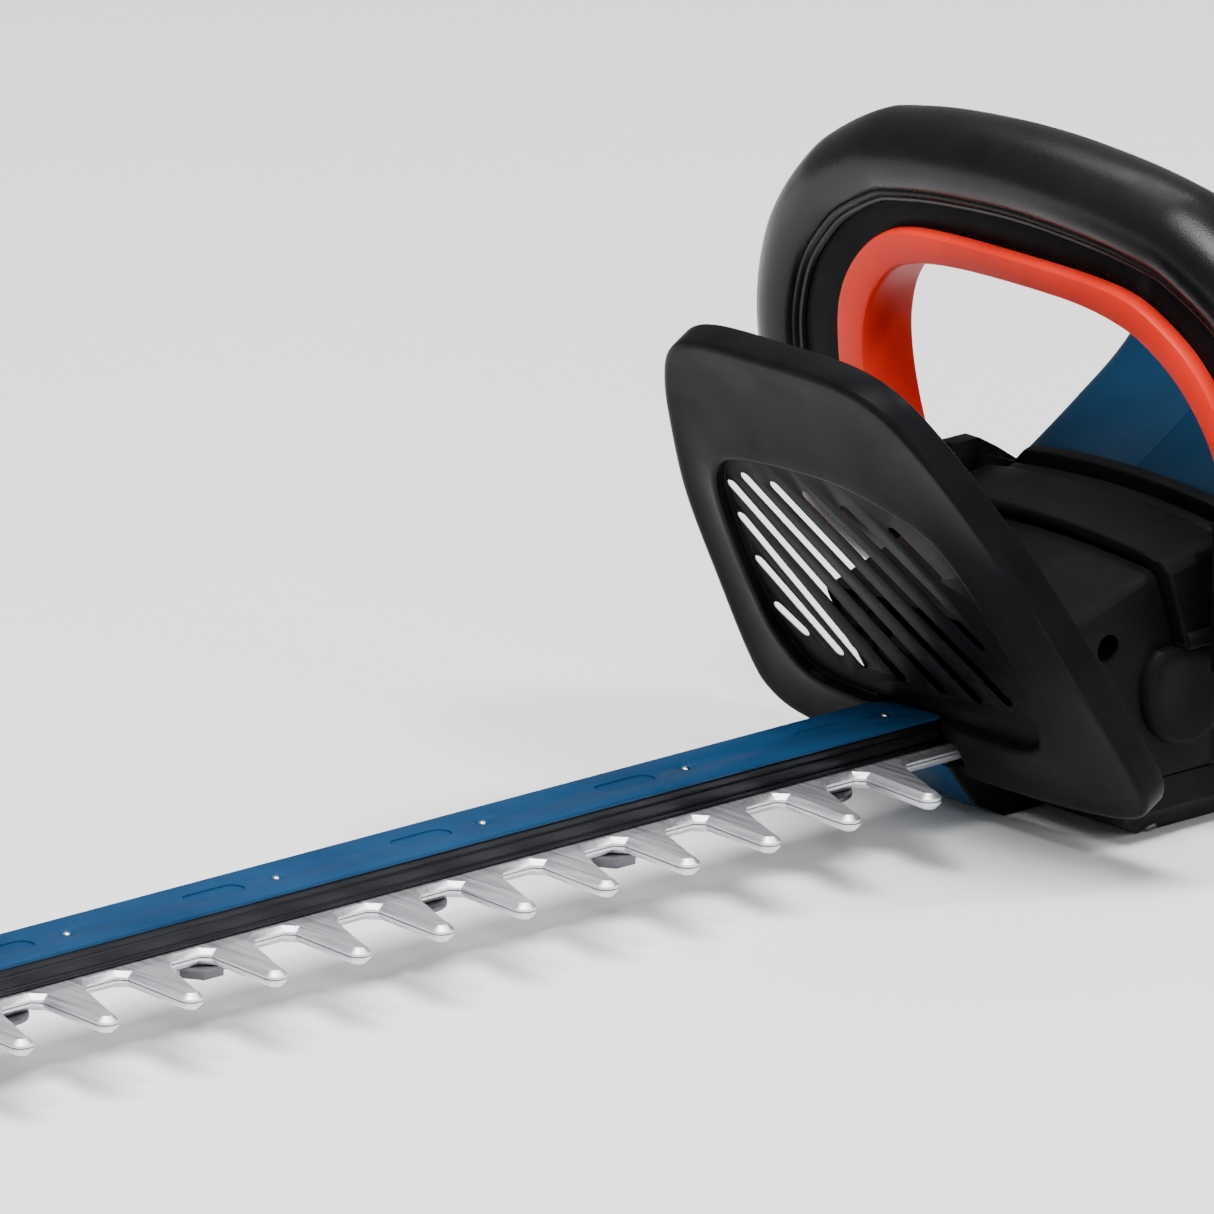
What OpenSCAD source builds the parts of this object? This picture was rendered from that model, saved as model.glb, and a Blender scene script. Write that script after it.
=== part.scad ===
// Cordless hedge trimmer with a single-sided reciprocating blade, hand guard,
// bale handle with a switch bar, rear D-handle with a trigger, and a slide-on battery.
// Frame: +X towards the rear handle, -X towards the blade tip, the toothed edge on -Y, +Z up.
// The belly and the battery stand on Z = 0, and Y = 0 is the middle plane of the housing.

/* [Blade] */
// Distance from one tooth to the next
tooth_pitch = 30; // [29:0.5:31]
// Number of teeth along the cutting edge
tooth_count = 18; // [16:1:18]
// Distance that each tooth reaches beyond the blade strip
tooth_reach = 29.7; // [26:0.1:30]
// Distance that a tooth leans towards the blade tip
tooth_lean = 5.8; // [3:0.1:7]
// Thickness of one blade
blade_t = 2.2; // [2:0.1:2.2]
// Sideways place of the blade bar's middle
bar_y = 15; // [14:0.5:16]
// Width of the blade bar
bar_w = 22.8; // [22:0.1:24]
// Height of the blade bar
bar_h = 7.6; // [7:0.1:8]
// Travel of each blade to either side of rest
stroke = 7.5; // [6:0.5:7.5]

/* [Guard and handles] */
// Forward lean of the hand guard
guard_lean = 30; // [28:1:31]
// Wall of the moulded guard
guard_t = 3; // [2.5:0.5:3.5]
// Forward lean of the bale handle
bale_lean = 9; // [8:1:10]
// Front-to-back thickness of the soft tube of the bale handle
tube_d = 30; // [29:0.5:30]
// Wall of the housing shells
shell_t = 3; // [2.5:0.5:3]

/* [Battery] */
// Length of the battery pack
pack_l = 117; // [110:1:118]
// Width of the battery pack
pack_w = 76; // [74:1:78]
// Height of the battery pack under its rails
pack_h = 46; // [44:1:46]

/* [Hidden] */
$fn = 48;

// running gap between parts that slide or turn past each other
gap = 0.3;
// small overlap or cut-through allowance
eps = 0.5;

// heights of the blade stack, from the top down
rail_z = 25.3;
rail_top = rail_z + bar_h;
upper_z = rail_z - gap - blade_t;
lower_z = upper_z - gap - blade_t;
washer_t = 1.4;
washer_z = lower_z - gap - washer_t;

// the blade strips run under the bar from its tip end to the crank
bar_y0 = bar_y - bar_w / 2;
bar_y1 = bar_y + bar_w / 2;
strip_y0 = bar_y0 - 2.6;
strip_y1 = bar_y1 - 1.9;
bar_tip = -484;
bar_end = 93;
strip_tip = bar_tip + 2;
first_tooth = 37;
root_w = 14.7;
tooth_tip_r = 3.4;

// fasteners along the bar
station_pitch = 75;
rivet_x = 58;
rivet_count = 8;
bolt_x = 25;
bolt_count = 7;
bolt_y = strip_y0 + 8;
bolt_r = 4;

// gear train: the gear turns about a vertical axle, with the motor behind it
gear_x = 125;
gear_y = 12.8;
gear_m = 1.25;
gear_teeth = 44;
pinion_teeth = 9;
backlash = 0.25;
centre_dist = gear_m * (gear_teeth + pinion_teeth) / 2 + 0.1;
motor_x = gear_x + centre_dist;
gear_z = 27.5;
gear_t = 8;
gear_room_r = gear_m * (gear_teeth / 2 + 1) + 0.55;
plate_z = 39;
plate_t = 4;
axle_r = 5;
crank_r = stroke;
crank_pin_r = 2.2;
yoke_x = crank_r + crank_pin_r + stroke + 0.5;
yoke_y = crank_r + crank_pin_r + 0.5;
case_w = 44;
can_r = 21;
can_z = plate_z + plate_t;
can_h = 41;
shaft_r = 2.5;

// ---------- helpers ----------

// a point on a Catmull-Rom curve through four points
function spline_point(a, b, c, d, t) =
    0.5 * (2 * b + (c - a) * t + (2 * a - 5 * b + 4 * c - d) * t * t
        + (3 * b - a - 3 * c + d) * t * t * t);

// a closed smooth outline through the points p, with n steps between two points
function closed_curve(p, n) = [
    for (i = [0 : len(p) - 1], j = [0 : n - 1])
        spline_point(p[(i + len(p) - 1) % len(p)], p[i], p[(i + 1) % len(p)],
            p[(i + 2) % len(p)], j / n)
];

// an open smooth curve through the points p
function open_curve(p, n) = concat([
    for (i = [0 : len(p) - 2], j = [0 : n - 1])
        spline_point(p[max(i - 1, 0)], p[i], p[i + 1], p[min(i + 2, len(p) - 1)], j / n)
], [p[len(p) - 1]]);

// the outline whose +Y half is given from top to bottom
function both_sides(half) = concat(half, [
    for (i = [len(half) - 1 : -1 : 0]) if (half[i][0] > 0) [-half[i][0], half[i][1]]
]);

function unit(v) = v / norm(v);

// an outline moved inwards by d; the points run clockwise seen along +X
function inset(p, d) = [
    for (i = [0 : len(p) - 1])
        let (t = unit(p[(i + 1) % len(p)] - p[(i + len(p) - 1) % len(p)]))
            p[i] + d * [t[1], -t[0]]
];

// an outline in Y and Z, made solid from x0 to x1
module plate(p, x0, x1) {
    translate([x0, 0, 0]) rotate([90, 0, 90]) linear_extrude(x1 - x0) polygon(p);
}

// an outline in X and Z, made solid from y0 to y1
module side_plate(p, y0, y1) {
    translate([0, y1, 0]) rotate([90, 0, 0]) linear_extrude(y1 - y0) polygon(p);
}

// a solid skin over rings of equal, even length, which run clockwise seen from the last ring;
// each cap joins a ring's first half to its second half, so a ring may be C-shaped
module loft(rings) {
    m = len(rings[0]);
    last = (len(rings) - 1) * m;
    polyhedron(
        points = [for (ring = rings, p = ring) p],
        faces = concat(
            [for (k = [0 : m / 2 - 2], f = [[k, m - 2 - k, k + 1], [k, m - 1 - k, m - 2 - k]]) f],
            [for (i = [0 : len(rings) - 2], j = [0 : m - 1], k = [0, 1])
                k == 0 ? [i * m + j, i * m + (j + 1) % m, (i + 1) * m + j]
                : [(i + 1) * m + j, i * m + (j + 1) % m, (i + 1) * m + (j + 1) % m]],
            [for (k = [0 : m / 2 - 2], f = [[k, k + 1, m - 2 - k], [k, m - 2 - k, m - 1 - k]])
                [for (q = f) last + q]]
        )
    );
}

module rod(p, r, l, axis) {
    turn = axis == "x" ? [0, 90, 0] : axis == "y" ? [-90, 0, 0] : [0, 0, 0];
    translate(p) rotate(turn) cylinder(r = r, h = l);
}

// a pan-head screw along -Z from the underside of its head, with a cross recess
module screw(head_r, head_h, r, l) {
    difference() {
        cylinder(r = head_r, h = head_h);
        for (a = [0, 90]) rotate([0, 0, a])
            translate([-head_r * 0.6, -0.4, head_h * 0.4]) cube([head_r * 1.2, 0.8, head_h]);
    }
    translate([0, 0, -l]) cylinder(r = r, h = l + 0.01);
}

// ---------- blade ----------

module blade_rail() {
    color([0.06, 0.06, 0.07]) difference() {
        translate([bar_tip, bar_y0, rail_z]) cube([bar_end - bar_tip, bar_w, bar_h]);
        for (i = [0 : bolt_count - 1])
            rod([bolt_x - i * station_pitch, bolt_y, rail_z - 1], bolt_r, bar_h - 1, "z");
        for (i = [0 : rivet_count - 1])
            rod([rivet_x - i * station_pitch, bar_y, rail_z + 2.6], 1.6, bar_h, "z");
        for (s = [-1, 1])
            rod([bar_tip - 1, bar_y + s * tip_screw_y, tip_screw_z], 1.6, 13, "x");
    }
}

module rail_cover() {
    cover_t = 1.1;
    color([0.12, 0.36, 0.56]) difference() {
        translate([bar_tip, bar_y0, rail_top]) cube([68 - bar_tip, bar_w, cover_t]);
        for (i = [0 : rivet_count - 1]) translate([rivet_x - i * station_pitch, bar_y, 0]) {
            rod([0, 0, rail_top - 1], 1.6, 4, "z");
            if (i < rivet_count - 1) hull() for (x = [-16, -29])
                rod([x, 0, rail_top + cover_t - 0.5], 3.6, 2, "z");
        }
        translate([68, bar_y1, rail_top - 1]) rotate([0, 0, 45])
            cube([11, 11, 4], center = true);
    }
}

module cover_rivets() {
    color([0.75, 0.76, 0.78]) for (i = [0 : rivet_count - 1])
        translate([rivet_x - i * station_pitch, bar_y, rail_top + 1.1]) {
            cylinder(r = 3, h = 0.8);
            translate([0, 0, -5]) cylinder(r = 1.6, h = 5.01);
        }
}

// one tooth, from its rear root round the tip to its front root
function tooth_points(x) =
    let (r = tooth_tip_r, cy = strip_y0 - tooth_reach + r)
    concat(
        [[x + tooth_lean + root_w / 2 + 3, strip_y0], [x + tooth_lean + root_w / 2, strip_y0 - 2.5]],
        [for (a = [0 : -20 : -180]) [x + r * cos(a), cy + r * sin(a)]],
        [[x + tooth_lean - root_w / 2, strip_y0 - 2.5], [x + tooth_lean - root_w / 2 - 2, strip_y0]]
    );

yoke_x0 = gear_x - yoke_x - 6;
yoke_x1 = gear_x + yoke_x + 6;

// a toothed strip with a crank yoke at its rear end and a slot for each bolt
module blade(z) {
    difference() {
        translate([0, 0, z]) linear_extrude(blade_t) polygon(concat(
            [[strip_tip, strip_y1], [yoke_x0, strip_y1], [yoke_x0, gear_y + yoke_y + 5.5],
                [yoke_x1, gear_y + yoke_y + 5.5], [yoke_x1, gear_y - yoke_y - 5.5],
                [yoke_x0, gear_y - yoke_y - 5.5], [yoke_x0, strip_y0]],
            [for (k = [0 : tooth_count - 1]) each tooth_points(first_tooth - k * tooth_pitch)],
            [[strip_tip, strip_y0]]
        ));
        translate([gear_x - yoke_x, gear_y - yoke_y, z - 1]) cube([2 * yoke_x, 2 * yoke_y, 5]);
        for (i = [0 : bolt_count - 1]) translate([bolt_x - i * station_pitch, bolt_y, z - 1]) {
            translate([-stroke, -bolt_r - gap, 0]) cube([2 * stroke, 2 * (bolt_r + gap), 5]);
            for (s = [-stroke, stroke]) translate([s, 0, 0]) cylinder(r = bolt_r + gap, h = 5);
        }
    }
}

module upper_blade() { color([0.74, 0.75, 0.78]) blade(upper_z); }

module lower_blade() { color([0.70, 0.71, 0.74]) blade(lower_z); }

module blade_bolts() {
    color([0.25, 0.25, 0.27]) for (i = [0 : bolt_count - 1])
        translate([bolt_x - i * station_pitch, bolt_y, 0]) {
            rod([0, 0, washer_z - 0.01], bolt_r - 0.02, rail_z + bar_h - 2.05 - washer_z, "z");
            translate([0, 0, washer_z - 3.6]) cylinder(r = 7, h = 3.6, $fn = 6);
        }
}

module bolt_washers() {
    color([0.45, 0.45, 0.48]) for (i = [0 : bolt_count - 1])
        translate([bolt_x - i * station_pitch, bolt_y, washer_z]) difference() {
            cylinder(r = 11, h = washer_t);
            translate([0, 0, -eps]) cylinder(r = bolt_r, h = washer_t + 2 * eps);
        }
}

tip_x = -505;
tip_end = -478;
hang_x = -497.6;
hang_r = 3.5;
tip_screw_y = 8;
tip_screw_z = rail_z + bar_h / 2;

module tip_guard() {
    color([0.05, 0.05, 0.06]) difference() {
        tip_form();
        translate([bar_tip - 0.1, bar_y0, rail_z - gap]) cube([40, bar_w, 20]);
        translate([strip_tip - stroke - 1, -40, lower_z - 0.5])
            cube([40, 80, rail_z - lower_z + 0.5]);
        rod([hang_x, bar_y, 0], hang_r, 60, "z");
        for (s = [-1, 1]) {
            rod([tip_x - 1, bar_y + s * tip_screw_y, tip_screw_z], 1.6, 40, "x");
            rod([tip_x - 1, bar_y + s * tip_screw_y, tip_screw_z], 3.1, 3.6, "x");
        }
    }
}

// the block that the tip guard is cut from, seen from above
module tip_form() {
    translate([0, 0, lower_z - 3]) linear_extrude(rail_top + 1 - lower_z + 3) polygon([
        [tip_end, bar_y1 + 1], [tip_x + 6, bar_y1 + 1], [tip_x, bar_y1 - 6],
        [tip_x, -2], [tip_x + 4, -22], [tip_x + 8, -27], [strip_tip - stroke - 3, -27],
        [strip_tip - stroke - 1.5, strip_y0 - 3], [tip_end, strip_y0 - 3]
    ]);
}

module tip_guard_screws() {
    color([0.6, 0.6, 0.62]) for (s = [-1, 1])
        translate([tip_x + 2.6, bar_y + s * tip_screw_y, tip_screw_z]) rotate([0, -90, 0])
            screw(2.9, 1.8, 1.6, 30);
}

// ---------- gear train and motor ----------

// a spur gear outline; each tooth is a trapezoid thinned by the backlash
function gear_points(teeth, module_size) =
    let (r = module_size * teeth / 2, ro = r + module_size * 0.95, ri = r - module_size * 1.2,
        at_root = 360 / teeth * 0.34, at_top = 360 / teeth * 0.13,
        thin = backlash / r * 28.6)
        [for (k = [0 : teeth - 1], c = [[ri, -at_root], [ro, -at_top], [ro, at_top], [ri, at_root]])
            let (a = k * 360 / teeth + c[1] + (c[1] > 0 ? -thin : thin))
                [c[0] * cos(a), c[0] * sin(a)]];

module drive_gear() {
    color([0.55, 0.55, 0.58]) translate([gear_x, gear_y, gear_z]) difference() {
        union() {
            linear_extrude(gear_t) polygon(gear_points(gear_teeth, gear_m));
            cylinder(r = 10, h = plate_z - gear_z - 1);
        }
        translate([0, 0, 3]) cylinder(r = axle_r, h = 20);
        for (s = [-1, 1]) translate([0, s * crank_r, -1]) cylinder(r = crank_pin_r, h = 4);
        for (a = [0 : 60 : 300]) rotate([0, 0, a])
            translate([17.5, 0, -1]) cylinder(r = 4, h = gear_t + 2);
    }
}

module crank_pins() {
    color([0.8, 0.8, 0.82]) for (q = [[1, upper_z], [-1, lower_z]])
        rod([gear_x, gear_y + q[0] * crank_r, q[1]], crank_pin_r, gear_z + 3 - q[1], "z");
}

module gear_axle() {
    color([0.8, 0.8, 0.82])
        rod([gear_x, gear_y, gear_z + 3], axle_r, plate_z + plate_t + 3 - gear_z - 3, "z");
}

module bearing(outer, inner, h) {
    difference() {
        cylinder(r = outer, h = h);
        translate([0, 0, -eps]) cylinder(r = inner, h = h + 2 * eps);
        translate([0, 0, h - 0.4]) difference() {
            cylinder(r = outer - 1.2, h = 1);
            translate([0, 0, -eps]) cylinder(r = inner + 1.2, h = 2);
        }
    }
}

module gear_bearing() {
    color([0.7, 0.7, 0.72]) translate([gear_x, gear_y, plate_z])
        bearing(9.5, axle_r + 0.05, plate_t);
}

module pinion() {
    color([0.6, 0.6, 0.62]) translate([motor_x, gear_y, gear_z]) difference() {
        rotate([0, 0, 180 + 180 / pinion_teeth])
            linear_extrude(gear_t) polygon(gear_points(pinion_teeth, gear_m));
        translate([0, 0, -eps]) cylinder(r = shaft_r, h = gear_t + 2 * eps);
    }
}

module motor_shaft() {
    color([0.8, 0.8, 0.82])
        rod([motor_x, gear_y, gear_z], shaft_r, can_z + can_h + 1 - gear_z, "z");
}

module motor_rotor() {
    color([0.35, 0.32, 0.3]) translate([motor_x, gear_y, can_z + 6]) difference() {
        cylinder(r = 11.5, h = 20);
        translate([0, 0, -eps]) cylinder(r = shaft_r, h = 30);
    }
}

module motor_stator() {
    color([0.55, 0.3, 0.15]) translate([motor_x, gear_y, can_z + 5]) difference() {
        cylinder(r = can_r - 1.5, h = 22);
        translate([0, 0, -eps]) cylinder(r = 12.2, h = 30);
        for (a = [0 : 60 : 300]) rotate([0, 0, a])
            translate([15.5, -1.5, -eps]) cube([3, 3, 30]);
    }
}

module motor_can() {
    color([0.3, 0.3, 0.33]) translate([motor_x, gear_y, can_z]) difference() {
        cylinder(r = can_r, h = can_h);
        translate([0, 0, 1.5]) cylinder(r = can_r - 1.5, h = can_h - 3);
        translate([0, 0, -eps]) cylinder(r = 6.5, h = 3);
        translate([0, 0, can_h - 3]) cylinder(r = 6.5, h = 5);
        for (a = [30 : 60 : 330]) rotate([0, 0, a])
            translate([can_r - 8, -3, can_h - 3]) cube([4, 6, 5]);
    }
}

module motor_fan() {
    color([0.1, 0.1, 0.1]) translate([motor_x, gear_y, can_z + 29]) difference() {
        union() {
            cylinder(r = 17, h = 1.4);
            cylinder(r = 5, h = 7);
            for (a = [0 : 40 : 320]) rotate([0, 0, a]) translate([8, -0.6, 1]) cube([9, 1.2, 6]);
        }
        translate([0, 0, -eps]) cylinder(r = shaft_r, h = 10);
    }
}

module motor_bearings() {
    color([0.7, 0.7, 0.72]) for (z = [can_z - 2.5, can_z + can_h - 3.5])
        translate([motor_x, gear_y, z]) bearing(6.5, shaft_r + 0.05, 4);
}

plate_x0 = 84;
plate_x1 = 192;
plate_screws = [for (x = [plate_x0 + 6, plate_x1 - 6], s = [-1, 1]) [x, s * (case_w - shell_t - 4)]];

module gearbox_plate() {
    color([0.6, 0.6, 0.6]) difference() {
        translate([plate_x0, shell_t - case_w, plate_z])
            cube([plate_x1 - plate_x0, 2 * (case_w - shell_t), plate_t]);
        rod([gear_x, gear_y, plate_z - 1], 9.5, plate_t + 2, "z");
        rod([motor_x, gear_y, plate_z - 1], 6.5, plate_t + 2, "z");
        for (p = plate_screws) rod([p[0], p[1], plate_z - 1], 1.8, plate_t + 2, "z");
    }
}

module gearbox_plate_screws() {
    color([0.6, 0.6, 0.62]) for (p = plate_screws)
        translate([p[0], p[1], plate_z + plate_t]) screw(3.4, 2.2, 1.8, 10);
}

// ---------- gear housing, shoulder and belly ----------

// the case's front wall lies parallel to the hand guard, this far behind the guard's front face
case_back = 12;
case_rear = 200;
case_floor = 18;
tub_top = 56;
band_x = 109;
collar_x = 126;
body_x = 138;
side_screw = [87, 60];
boss_x = 116;
boss_z = 44;

// a housing section at x: half width w, chamfers at the top and bottom corners
function case_ring(x, w, top, bottom, ct, cb) = [
    for (p = both_sides([[0, top + 2.4], [w - ct, top], [w, top - ct], [w, bottom + cb],
        [w - cb, bottom], [0, bottom]])) [x, p[0], p[1]]
];

// everything behind the case's slanting front wall
module behind_front(t) {
    at_guard_plane() translate([case_back + t, -90, -60]) cube([200, 180, 260]);
}

module case_block(t) {
    intersection() {
        loft([
            case_ring(40, case_w - t, 58 - t, case_floor, 5, 1),
            case_ring(band_x, case_w - t, 80 - t, case_floor, 5, 1),
            case_ring(collar_x, case_w - t, 82 - t, case_floor, 5, 1)
        ]);
        behind_front(t);
    }
}

module gear_housing() {
    color([0.07, 0.07, 0.08]) difference() {
        union() {
            difference() {
                union() {
                    case_block(0);
                    translate([band_x, -case_w, case_floor])
                        cube([case_rear - band_x, 2 * case_w, tub_top - case_floor]);
                    for (s = [0, 1]) mirror([0, s, 0]) intersection() {
                        rod([boss_x, case_w - 1, boss_z], 17, 5, "y");
                        translate([boss_x - 20, 0, case_floor]) cube([40, 60, tub_top - case_floor]);
                    }
                }
                translate([0, 0, -eps]) case_block(shell_t);
                translate([collar_x - 8, shell_t - case_w, case_floor - eps]) cube([
                    case_rear - shell_t - collar_x + 8, 2 * (case_w - shell_t), 80
                ]);
            }
            for (p = plate_screws) translate([p[0] - 4, p[1] > 0 ? p[1] - 4 : p[1] - 5, 28])
                cube([8, 9, plate_z - 28]);
            for (s = [-1, 1]) rod([side_screw[0], s > 0 ? 31 : -43, side_screw[1]], 6, 12, "y");
        }
        translate([60, bar_y0 - 0.1, rail_z - eps]) cube([34, bar_w + 0.2, bar_h + eps + 0.1]);
        translate([60, strip_y0 - 1, case_floor - 1]) cube([34, bar_y1 - strip_y0 + 1.1, 8]);
        for (s = [-1, 1]) {
            rod([side_screw[0], s > 0 ? 34 : -50, side_screw[1]], 4, 16, "y");
            rod([side_screw[0], s > 0 ? 25 : -38, side_screw[1]], 1.8, 13, "y");
        }
        for (p = plate_screws) rod([p[0], p[1], plate_z - 8], 1.8, 10, "z");
        rod([gear_x, gear_y, gear_z - 1], gear_room_r, gear_t + 2, "z");
        for (p = guard_screws_at) at_guard_plane()
            rod([case_back - 1, p[0], p[1]], 1.8, shell_t + 2, "x");
    }
}

module gear_housing_screws() {
    color([0.6, 0.6, 0.62]) for (s = [0, 1]) mirror([0, s, 0])
        translate([side_screw[0], 34, side_screw[1]]) rotate([-90, 0, 0]) screw(3.6, 2.4, 1.8, 8);
}

module shoulder_band() {
    color([0.08, 0.08, 0.09]) difference() {
        union() {
            loft([
                case_ring(band_x - 4, 47, 81.5, 57, 4, 1),
                case_ring(band_x, 50, 82.8, 57, 4, 1),
                case_ring(band_x + 10, 50, 85, 57, 4, 1),
                case_ring(collar_x, 50, 86.2, 57, 4, 1)
            ]);
            for (s = [0, 1]) mirror([0, s, 0]) translate([band_x, case_w + 0.1, 56.2])
                cube([case_rear - band_x, 8, 5]);
        }
        translate([0, 0, 0.1]) loft([
            case_ring(band_x - 10, case_w + 0.1, 79.1, 40, 5, 1),
            case_ring(band_x, case_w + 0.1, 80.1, 40, 5, 1),
            case_ring(collar_x + 5, case_w + 0.1, 83.2, 40, 5, 1)
        ]);
        bale_screw_holes();
    }
}

module collar() {
    color([0.05, 0.05, 0.06]) difference() {
        union() {
            loft([
                case_ring(collar_x, 46, 85.5, 62, 5, 1),
                case_ring(collar_x + 5, 46, 87, 62, 5, 1)
            ]);
            loft([
                case_ring(collar_x + 5, 44, 85.5, 62, 5, 1),
                case_ring(collar_x + 7, 44, 86, 62, 5, 1)
            ]);
            loft([
                case_ring(collar_x + 7, 46, 89.5, 62, 7, 1),
                case_ring(body_x, 46, 91, 62, 7, 1)
            ]);
        }
        loft([
            case_ring(collar_x - 1, 41, 84.5, 50, 6, 1),
            case_ring(body_x + 1, 41, 84.5, 50, 6, 1)
        ]);
    }
}

belly_w = 43;
nose_y0 = bar_y - 12;
nose_y1 = bar_y + 13;
strap_y0 = nose_y0 + 2;
strap_y1 = nose_y1 - 2.5;

// the belly's side outline: a front slope from x, then flat on the ground
function belly_side(x, t) = [
    [x + t, case_floor], [x + 10 + 0.5 * t, 5 + 0.8 * t], [x + 20 + 0.3 * t, t], [194 - t, t],
    [204 - t, 8], [204 - t, case_floor]
];

module belly_form(t) {
    intersection() {
        union() {
            side_plate(belly_side(88, t), -belly_w + t, belly_w - t);
            side_plate(belly_side(72, t), nose_y0 + t, nose_y1 - t);
        }
        plate([
            [-belly_w + t, 30], [-belly_w + t, 9], [-belly_w + 9 + t / 2, t],
            [belly_w - 9 - t / 2, t], [belly_w - t, 9], [belly_w - t, 30]
        ], 60, 220);
    }
}

strap_t = 1.2;
belly_screw_x = [112, 145, 180];

// a pressed strip let into the nose and the front of the belly
module strap_form() {
    difference() {
        side_plate([[72, case_floor], [82, 5], [92, 0], [150, 0], [150, 12], [90, 12], [84, 18]],
            strap_y0, strap_y1);
        side_plate([[72 + strap_t * 1.4, case_floor + 1], [82.6, 5 + strap_t],
            [92.3, strap_t], [160, strap_t], [160, 24], [72, 24]], strap_y0 - 1, strap_y1 + 1);
    }
}

module belly_cover() {
    color([0.06, 0.06, 0.07]) difference() {
        belly_form(0);
        difference() {
            translate([0, 0, 0.01]) belly_form(shell_t);
            for (x = belly_screw_x, s = [-1, 1]) rod([x, s * 33, 0], 4, 30, "z");
        }
        strap_form();
        for (x = belly_screw_x, s = [-1, 1]) {
            rod([x, s * 33, -1], 1.8, 14, "z");
            rod([x, s * 33, -1], 3.6, 4, "z");
        }
    }
}

module belly_strap() {
    color([0.12, 0.36, 0.56]) strap_form();
}

module belly_screws() {
    color([0.5, 0.5, 0.52]) for (x = belly_screw_x, s = [-1, 1])
        translate([x, s * 33, 3]) rotate([180, 0, 0]) screw(3.3, 2, 1.8, 9);
}

module rail_clamp() {
    color([0.55, 0.55, 0.57])
        translate([86, bar_y0 + 2, rail_top]) cube([7, bar_w - 4, plate_z - rail_top]);
}

// ---------- hand guard ----------

guard_x = 70;
guard_z = 25;
guard_rim = 9;
panel_x = 3.2;
slot_w = 4;
slot_end_r = 2.1;
guard_screws_at = [[-36, 29], [26, 29], [-33, 3], [34, 3]];

// the guard's own frame: local Y and Z lie in its front face, local X points rearwards
module at_guard_plane() {
    translate([guard_x, 0, guard_z]) rotate([0, -guard_lean, 0]) children();
}

guard_outline = closed_curve(both_sides([
    [0, 144.5], [28, 143.5], [43, 137], [53, 123], [62, 101], [70, 75], [75, 42],
    [78.5, 13], [77, 0], [67, -8], [40, -12], [0, -12.7]
]), 5);

// the slotted panel reaches further out on the far side of the blade
guard_panel = closed_curve([
    [0, 100], [34, 98], [48, 90], [55, 72], [59, 42], [58, 22], [46, 10], [0, 8], [-32, 8],
    [-43, 18], [-45, 42], [-43, 70], [-36, 88], [-20, 96]
], 3);

// both ends of each slot in the guard's face
guard_slots = [
    [[56, 34], [50, 27]], [[54, 52], [38, 23]], [[52, 69], [29, 21]], [[49, 82], [14, 20]],
    [[41, 87], [-2, 20]], [[29, 87], [-17, 21]], [[16, 87], [-31, 24]], [[1, 86], [-31, 45]],
    [[-17, 83], [-27, 70]]
];

module guard_slot(a, b, x0, x1) {
    turn = atan2(b[1] - a[1], b[0] - a[0]);
    translate([x0, a[0], a[1]]) rotate([turn, 0, 0])
        translate([0, 0, -slot_w / 2]) cube([x1 - x0, norm(b - a), slot_w]);
    for (p = [a, b]) rod([x0, p[0], p[1]], slot_end_r, x1 - x0, "x");
}

module hand_guard() {
    color([0.05, 0.05, 0.06]) difference() {
        at_guard_plane() difference() {
            union() {
                difference() {
                    plate(guard_outline, 0, guard_rim);
                    plate(inset(guard_outline, guard_t), guard_t, guard_rim + 1);
                }
                plate(inset(guard_panel, -guard_t), 0.5, panel_x + guard_t);
                for (p = guard_screws_at)
                    rod([panel_x, p[0], p[1]], 5, case_back - panel_x, "x");
            }
            plate(guard_panel, -1, panel_x);
            for (s = guard_slots) guard_slot(s[0], s[1], 0, 8);
            for (p = guard_screws_at) rod([panel_x + 2.5, p[0], p[1]], 1.8, 10, "x");
        }
        translate([40, nose_y0 - 1, 0]) cube([60, nose_y1 - nose_y0 + 2, rail_top + 2]);
        translate([40, strip_y0 - 1, lower_z - 2]) cube([60, 10, 8]);
    }
}

module guard_screws() {
    color([0.5, 0.5, 0.52]) at_guard_plane() for (p = guard_screws_at)
        translate([case_back + shell_t, p[0], p[1]]) rotate([0, 90, 0]) screw(3.4, 2.2, 1.8, 9);
}

// ---------- bale handle ----------

bale_x = 120.3;
bale_z = 70;
tube_depth = tube_d / 2;
tube_in = 24;
flange_x = 10;
bar_front = 15;
bar_rear = 4.5;
bar_travel = 4;
pad_y = 52.2;
pad_t = 5.8;
bale_screw_at = [[123, 78], [142, 78], [142, 64]];

// the bale handle's own frame: local Y and Z lie in its middle plane
module at_bale_plane() {
    translate([bale_x, 0, bale_z]) rotate([0, -bale_lean, 0]) children();
}

// an open outline that runs from the -Y leg over the top to the +Y leg
function over_top(half, near) = open_curve(concat(
    [for (i = [len(near) - 1 : -1 : 1]) [-near[i][0], near[i][1]]], half
), 3);

bale_leg = [
    [0, 128.6], [31, 127], [53, 124], [66, 120.6], [84, 111], [95, 102], [107, 88],
    [115, 72], [119.5, 54], [120, 29], [115, 6], [101, -12], [80, -20], [67, -20.5]
];
bale_outer = over_top(bale_leg, bale_leg);
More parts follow.
